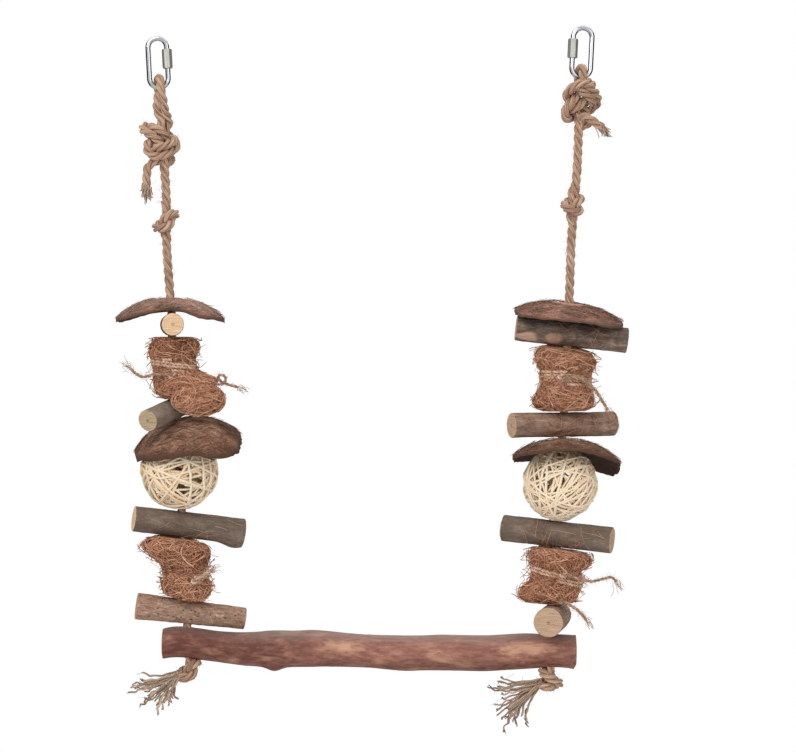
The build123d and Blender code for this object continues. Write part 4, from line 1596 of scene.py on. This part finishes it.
def dressed_perch(knobs):
    """A long branch with sawn ends. A knob or hump is its place in the photograph's pixels, its turn round
    the branch from the top, and its height and length in millimetres."""
    middles, sizes = perch_branch()
    turns = np.linspace(0, 2 * pi, 120, endpoint=False)
    local = np.stack(
        [
            -np.sin(turns)[None] * sizes[:, None],
            np.cos(turns)[None] * sizes[:, None],
            np.repeat((middles[:, 0] - middles[0, 0])[:, None], len(turns), axis=1),
        ],
        axis=2,
    ) / MM
    drawn = local * np.array((1, 1, 0.12))
    move = 0.5 * grain_field(local, 0.035, 81) + 0.35 * grain_field(drawn, 0.22, 82)
    move += 0.16 * grain_field(drawn, 0.7, 83) - 0.35
    for across, turn, high, wide in knobs:
        near = ((local[:, :, 2] - (across - PHOTO_PERCH) * PHOTO_SCALE) / wide) ** 2
        gap = (turns - turn + pi) % (2 * pi) - pi
        move += high * np.exp(-near - (gap / 0.55) ** 2)
    out = np.stack([0 * turns, -np.sin(turns), np.cos(turns)], axis=1)
    body = middles[:, None] + out * (sizes[:, None] + move * MM)[:, :, None]
    inset = (0.02, 0.25, 0.5, 0.75, 0.985)
    cap = len(inset)
    proud = np.array((PERCH_FACE, 0, 0))
    first = [middles[0] + (body[0] - middles[0]) * share - proud for share in inset]
    last = [middles[-1] + (body[-1] - middles[-1]) * share + proud for share in inset[::-1]]
    skin_first = [local[0] * np.array((share, share, 1)) for share in inset]
    skin_last = [local[-1] * np.array((share, share, 1)) for share in inset[::-1]]
    grid = np.concatenate([first, body, last])
    skin = np.concatenate([skin_first, local, skin_last])
    ends = np.zeros(len(grid), int)
    ends[:cap] = 1
    ends[-cap - 1 :] = 1
    piece = skin_mesh(
        "perch_branch",
        grid,
        [peeled_perch_bark(), DULL_END],
        ends,
        values={"skin": skin},
        sharp=(cap - 1, cap, -cap, -cap - 1),
    )
    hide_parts("perch")
    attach(piece, "perch")


dressed_perch(
    (
        (275, pi, 3.4, 7.0),
        (273, 0.0, 0.9, 11.0),
        (317, 0.1, 1.0, 13.0),
        (205, pi * 1.1, 0.6, 12.0),
        (400, pi * 0.95, 0.8, 16.0),
        (520, 0.2, 0.7, 14.0),
    )
)


# Coir bundles


def felted_coir():
    """The matted middle of a coir wad, seen between the fibres: dark, with short tangled strands. Its
    darkness is painted shade over the coir's own brown, for the shade deep in the gaps between the fibres.
    """
    finish, tree = blank_finish("felted_coir")
    place = add(tree, "ShaderNodeTexCoord").outputs["Object"]
    # Tangles 1.2 mm wide and 4 mm long.
    level = add(tree, "ShaderNodeMapping", {"Vector": place, "Scale": (250.0, 250.0, 830.0)})
    tangle = add(
        tree,
        "ShaderNodeTexNoise",
        {"Vector": level.outputs[0], "Scale": 1.0, "Detail": 4.0, "Distortion": 1.5},
    )
    # Dark colours: coir brown with the painted shade that falls between the fibres.
    colour = add(
        tree,
        "ShaderNodeValToRGB",
        {"Fac": tangle.outputs["Fac"]},
        stops=((0.35, "#3d2115"), (0.55, "#754b35"), (0.75, "#a8765a")),
    )
    bump = add(
        tree,
        "ShaderNodeBump",
        {"Height": tangle.outputs["Fac"], "Strength": 1.0, "Distance": 1.2 * MM},
    )
    close_finish(tree, colour.outputs[0], bump, **{"Roughness": 0.95, "Specular IOR Level": 0.1})
    return finish


FELT = felted_coir()
COIR_RADII = (0.17, 0.36)  # of its fibres, in millimetres


class Wad:
    """A coir bundle's shape, felt from its CAD node: its radius by height and turn about the rope, between
    the sticks below and above it."""

    rows, columns = 44, 48

    def __init__(self, line, level):
        self.line = line
        self.node = f"{line.side}_{level}_coir"
        below, above = ("bottom", "lower") if level == "lower" else ("middle", "top")
        self.floor = self.stick_face(f"{line.side}_{below}_stick", 1)
        self.roof = self.stick_face(f"{line.side}_{above}_stick", -1)
        low, high = corners(self.node)
        self.heights = np.linspace(low[2], high[2], self.rows)
        self.turns = np.linspace(0, 2 * pi, self.columns, endpoint=False)
        skin = cad_skin(self.node)
        self.size = np.full((self.rows, self.columns), np.nan)
        for row, height in enumerate(self.heights):
            middle = Vector(line.at(height))
            for column, turn in enumerate(self.turns):
                way = Vector((cos(turn), sin(turn), 0))
                hit = skin.ray_cast(middle + way * 0.08, -way)[0]
                if hit and (hit - middle).length > 6 * MM:
                    self.size[row, column] = (hit - middle).length
        for column in range(self.columns):
            known = np.flatnonzero(~np.isnan(self.size[:, column]))
            self.size[:, column] = np.interp(np.arange(self.rows), known, self.size[known, column])
        height = np.repeat(self.heights[:, None], self.columns, axis=1)
        turn = np.repeat(self.turns[None], self.rows, axis=0)
        # Lumps about 20 mm wide, as the wad was packed by hand.
        place = np.stack([1.1 * np.cos(turn), 1.1 * np.sin(turn), height / (9 * MM) * 0.6], axis=2)
        self.size *= 1 + 0.1 * grain_field(place, 1.0, 91)
        # Its ends round off over the last 14 mm before the sticks.
        points = self.round_rope(height, turn, self.size)
        near = np.minimum(*[(points - face) @ way for face, way in (self.floor, self.roof)])
        short = np.clip(1 - near / (14 * MM), 0, 1)
        self.size *= 0.42 + 0.58 * np.sqrt(1 - short**2)

    def stick_face(self, stick, way):
        """The plane that a turning stick keeps free: a point on it and its direction into the bundle."""
        place, up = place_of(f"{stick}_spin")
        radius = np.abs((cad_points(stick) - place) @ up).max()
        return place + way * up * (radius + 0.5 * MM), way * up

    def radius(self, height, turn):
        """The radius at a height and turn, blended from the four nearest that were felt."""
        row = np.interp(height, self.heights, np.arange(self.rows))
        column = (turn / (2 * pi) * self.columns) % self.columns
        low, left_of = np.floor(row).astype(int), np.floor(column).astype(int) % self.columns
        high, right_of = np.minimum(low + 1, self.rows - 1), (left_of + 1) % self.columns
        rise, along = row - np.floor(row), column - np.floor(column)
        under = self.size[low, left_of] * (1 - along) + self.size[low, right_of] * along
        over = self.size[high, left_of] * (1 - along) + self.size[high, right_of] * along
        return under * (1 - rise) + over * rise

    def round_rope(self, height, turn, radius):
        """Points round the rope."""
        rise = (height.reshape(-1) - self.line.middle[2]) / self.line.up[2]
        base = self.line.middle + np.outer(rise, self.line.up)
        out = np.stack([np.cos(turn), np.sin(turn), 0 * turn], axis=-1).reshape(-1, 3)
        return (base + out * radius.reshape(-1, 1)).reshape(*height.shape, 3)

    def spot(self, height, turn, radius):
        """Points round the rope, kept between the two sticks."""
        points = self.round_rope(height, turn, radius)
        for face, way in (self.floor, self.roof):
            short = np.maximum(0, 0.3 * MM - (points - face) @ way)
            points = points + short[..., None] * way
        return points

    def core(self, low, high):
        """Rows of points a little under the surface, drawn in at the ends."""
        count, around = 26, 64
        levels = np.linspace(low, high, count)
        shares = np.concatenate([[0.2, 0.5, 0.68], np.full(count - 6, 0.78), [0.68, 0.5, 0.2]])
        height = np.repeat(levels[:, None], around, axis=1)
        turn = np.repeat(np.linspace(0, 2 * pi, around, endpoint=False)[None], count, axis=0)
        return self.spot(height, turn, self.radius(height, turn) * shares[:, None])

    def fibres(self, count, low, high, strays):
        """Springy fibres that wander over the surface between two heights; a share of them stand off."""
        steps = 14
        pace = CHANCE.uniform(24, 64, count) * MM / steps
        bend = CHANCE.normal(0, 55, count)
        lean = CHANCE.normal(0, 0.55, count) + np.where(CHANCE.random(count) < 0.5, 0, pi)
        height = CHANCE.uniform(low, high, count)
        turn = CHANCE.uniform(0, 2 * pi, count)
        depth = CHANCE.uniform(-5.0, 0.9, count) * MM
        loose = CHANCE.random(count) < strays
        lift = np.where(loose, CHANCE.uniform(1.0, 8.0, count), CHANCE.uniform(0, 1.4, count)) * MM
        side = np.where(CHANCE.random(count) < 0.5, 1, -1)
        marks = np.linspace(-1, 1, steps)
        levels, turns, sizes = [], [], []
        for step in range(steps):
            radius = self.radius(height, turn)
            levels.append(height)
            turns.append(turn)
            raise_by = lift * np.clip(marks[step] * side, 0, 1) ** 2
            sizes.append(np.maximum(radius + depth + raise_by, 5 * MM))
            turn = turn + np.cos(lean) * pace / np.maximum(radius, 8 * MM)
            height = height + np.sin(lean) * pace
            out = (height < low) | (height > high)
            height = np.clip(height, low, high)
            lean = np.where(out, -lean, lean) + bend * pace + CHANCE.normal(0, 0.16, count)
        points = self.spot(np.stack(levels, 1), np.stack(turns, 1), np.stack(sizes, 1))
        return list(points)


def coir_bundle(line, level, lobes, count, strays=0.24):
    """A wad of coir. Each lobe is its low and high share of the bundle's height, and its body."""
    wad = Wad(line, level)
    low, high = wad.heights[0], wad.heights[-1]
    for number, (first, last, body) in enumerate(lobes):
        bottom, top = low + first * (high - low), low + last * (high - low)
        name = f"{wad.node}_{number}"
        core = skin_mesh(f"{name}_felt", wad.core(bottom, top), [FELT])
        share = int(count * (last - first))
        lines = wad.fibres(share, bottom, top, strays)
        thick = CHANCE.uniform(*COIR_RADII, share) * MM
        wires = strands(f"{name}_fibres", [(lines, thick, CHANCE.uniform(0, 1, share))], COIR, sides=3)
        for piece in (core, wires):
            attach(piece, body)
            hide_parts(wad.node)


def waist_of(line):
    """The share of a lower bundle's height at which it bends."""
    low, high = corners(f"{line.side}_lower_coir")
    return (line.foot_bend[2] - low[2]) / (high[2] - low[2])


COIR_FIBRES = 2100  # in a bundle
for coir_line in LINES.values():
    rope_body = f"{coir_line.side}_rope"
    waist = waist_of(coir_line)
    coir_bundle(coir_line, "upper", [(0, 1, rope_body)], COIR_FIBRES)
    coir_bundle(
        coir_line, "lower", [(0, waist, "perch"), (waist, 1, rope_body)], COIR_FIBRES, strays=0.32
    )


def hanging_lobe(name, middle, halves, count, body):
    """A lobe of a wad that hangs in front of the stick below it, and goes with that stick. Halves are its
    half sizes in millimetres."""
    turns = np.linspace(0, 2 * pi, 40, endpoint=False)
    tilts = np.linspace(-0.48 * pi, 0.48 * pi, 16)
    ball = np.stack(
        [
            np.cos(tilts)[:, None] * np.cos(turns),
            np.cos(tilts)[:, None] * np.sin(turns),
            np.sin(tilts)[:, None] + 0 * turns,
        ],
        axis=2,
    )
    halves = np.array(halves) * MM
    core = skin_mesh(f"{name}_felt", middle + ball * halves * 0.8, [FELT])
    lines = []
    for _ in range(count):
        out, way = CHANCE.normal(0, 1, (2, 3))
        path, bend = [], CHANCE.normal(0, 0.16)
        sizes = CHANCE.uniform(0.8, 1.06) + np.linspace(0, CHANCE.uniform(0, 0.08), 12)
        for size in sizes:
            out /= np.linalg.norm(out)
            way -= out * (way @ out)
            way /= np.linalg.norm(way)
            path.append(middle + out * halves * size)
            way = way + np.cross(out, way) * bend
            out = out + way * 0.16
        lines.append(np.array(path))
    thick = CHANCE.uniform(*COIR_RADII, count) * MM
    wires = strands(f"{name}_fibres", [(lines, thick, CHANCE.uniform(0, 1, count))], COIR, sides=3)
    for piece in (core, wires):
        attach(piece, body)


hanging_lobe(
    "left_upper_coir_lobe",
    photo_route((201, 399, -21))[0],
    halves=(19, 9, 12),
    count=700,
    body="left_middle_stick",
)


# Twine ties


def twine_tie(line, level, turns, slant, sunk, tails, tail_shade=(0.2, 0.45)):
    """Hemp twine wound round a bundle's waist, falling to the right by its slant and sunk some millimetres
    into the coir, with its loose ends. Tail shade is that of the ends' two plies."""
    node = f"{line.side}_{level}_tie"
    points = cad_points(node)
    behind = points[points[:, 1] > 2 * MM]
    middle = np.array(((behind[:, 0].min() + behind[:, 0].max()) / 2, 0, behind[:, 2].mean()))
    ring = behind[:, 1].max() - TWINE / 2 - sunk * MM
    count = 40 * turns
    angle = np.linspace(-pi / 2, -pi / 2 + 2 * pi * turns, count)
    wobble = np.cumsum(CHANCE.normal(0, 0.1, count))
    pitch = 2.1  # millimetres from turn to turn
    rise = (np.linspace(-0.5, 0.5, count) * turns * pitch + wobble - wobble.mean()) * MM
    size = ring - 0.5 * MM + np.cumsum(CHANCE.normal(0, 0.05, count)) * MM
    wound = middle + np.stack([size * np.cos(angle), size * np.sin(angle), rise], axis=1)
    wound[:, 2] -= slant * (wound[:, 0] - middle[0])
    lines, tufts = [], []
    # Its knot, at the front where the first loose end starts.
    hitch = set_knot(line, tails[0][0], [leaving(SINGLE_KNOT[0], 1.5)], 2.1 * MM, radians(70))[0]
    tufts += frayed_tuft(tails[0][0], (0.3, -1, -0.2), count=22, reach=6 * MM, spread=0.9)[0]
    for part in [wound, hitch, *[smooth_path(tail) for tail in tails]]:
        path = evenly(part, 0.5 * MM)
        one, two = cross_ways(path)
        spin = 2 * pi * run_of(path) / TWINE_LAY
        for ply in (0, pi):
            out = np.cos(spin + ply)[:, None] * one + np.sin(spin + ply)[:, None] * two
            lines.append(path + out * TWINE * 0.24)
    for tail in tails:
        tufts += frayed_tuft(tail[-1], tail[-1] - tail[-2], count=14, reach=7 * MM, spread=0.4)[0]
    spun = [evenly(part, 2 * MM) for part in (wound, *tails)]
    hairs = stray_hairs(spun, TWINE * 0.45, count=420, length=5 * MM)
    piece = strands(
        f"{node}_twine",
        [
            (lines, TWINE * 0.31, np.array([0.75, 1.0] * 2 + list(tail_shade) * len(tails))),
            (tufts, 0.16 * MM, 0.4),
            (hairs, 0.07 * MM, 0.8),
        ],
        HEMP,
        sides=5,
    )
    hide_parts(node)
    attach(piece, f"{line.side}_rope")


twine_tie(
    left,
    "upper",
    turns=3,
    slant=0.16,
    sunk=0.0,
    tails=[
        photo_route((176, 376, -17), (160, 373, -18), (147, 378, -17), (138, 374, -15), (132, 368, -13)),
        photo_route(
            (178, 374, -17),
            (195, 378, -19),
            (212, 383, -17),
            (226, 385, -15),
            (228, 376, -14),
            (219, 374, -13),
            (221, 383, -12),
            (239, 387, -12),
        ),
    ],
)
twine_tie(
    left,
    "lower",
    turns=2,
    slant=-0.3,
    sunk=2.6,
    tails=[photo_route((198, 578, -18), (203, 575, -18), (207, 572, -16), (211, 569, -14))],
    tail_shade=(0.75, 1.0),
)
twine_tie(
    right,
    "upper",
    turns=4,
    slant=0.05,
    sunk=0.8,
    tails=[
        photo_route((560, 376, -18), (580, 378, -20), (592, 388, -17), (600, 400, -15), (606, 410, -14))
    ],
)
twine_tie(
    right,
    "lower",
    turns=2,
    slant=0.3,
    sunk=0.0,
    tails=[
        photo_route((562, 572, -19), (585, 580, -21), (600, 577, -18), (611, 574, -15), (614, 580, -14)),
        photo_route((561, 599, -22), (570, 603, -23), (578, 609, -23), (584, 617, -22)),
    ],
)


# Vine balls


def vine_ball(line, vines):
    """Peeled vine wound into an open ball, clear of the rope where it goes through. Each vine goes round
    one to three times, while the axis that it goes round drifts."""
    node = f"{line.side}_vine_ball"
    clear = 6.4 * MM  # kept free round the rope's line
    steps = 44  # in a turn
    place, up = place_of(f"{node}_spin")
    radius = np.linalg.norm(cad_points(node) - place, axis=1).max()
    lines, thick = [], []
    for number in range(vines):
        pole = CHANCE.normal(0, 1, 3)
        drift = CHANCE.normal(0, 1, 3)
        count = int(CHANCE.uniform(1.2, 3.4) * steps)
        size = CHANCE.uniform(0.75, 1.1) * MM
        sink = CHANCE.uniform(0.0, 4.0) * MM
        phase = CHANCE.uniform(0, 2 * pi)
        wander = np.cumsum(CHANCE.normal(0, 0.02, (count, 3)), axis=0)
        spots = []
        for step in range(count):
            turn = 2 * pi * step / steps + phase
            axis = pole + drift * (step / count) * 1.6 + wander[step]
            axis /= np.linalg.norm(axis)
            one = np.cross(axis, (0.3, 0.5, 0.81))
            one /= np.linalg.norm(one)
            two = np.cross(axis, one)
            tilt = 0.28 * sin(turn * 0.43 + phase)
            out = cos(turn) * one + sin(turn) * two + tilt * axis
            out /= np.linalg.norm(out)
            ripple = 0.7 * MM * sin(turn * 3.1 + number)
            reach = radius - size - sink - abs(ripple)
            spot = out * reach
            aside = spot - up * (spot @ up)
            far = np.linalg.norm(aside)
            if far < clear:
                spot = spot + aside / max(far, 1e-6) * (clear - far)
                spot *= min(1, reach / np.linalg.norm(spot))
            spots.append(place + spot)
        lines.append(evenly(np.array(spots), 2.4 * MM))
        thick.append(size)
    shades = CHANCE.uniform(0.25, 1.0, len(lines))
    ball = strands(f"{node}_weave", [(lines, thick, shades)], VINE, sides=6)
    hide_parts(node)
    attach(ball, node)


for ball_line in LINES.values():
    vine_ball(ball_line, vines=24)


# Links and nuts keep their CAD shapes.

for metal_side in SIDES:
    for node, finish in ((f"{metal_side}_quick_link", ZINC), (f"{metal_side}_link_nut", NUT)):
        mesh = frame["nodes"][node].data
        mesh.materials.clear()
        mesh.materials.append(finish)


# The render's colours, through the Standard view transform

bpy.context.scene.view_settings.view_transform = "Standard"
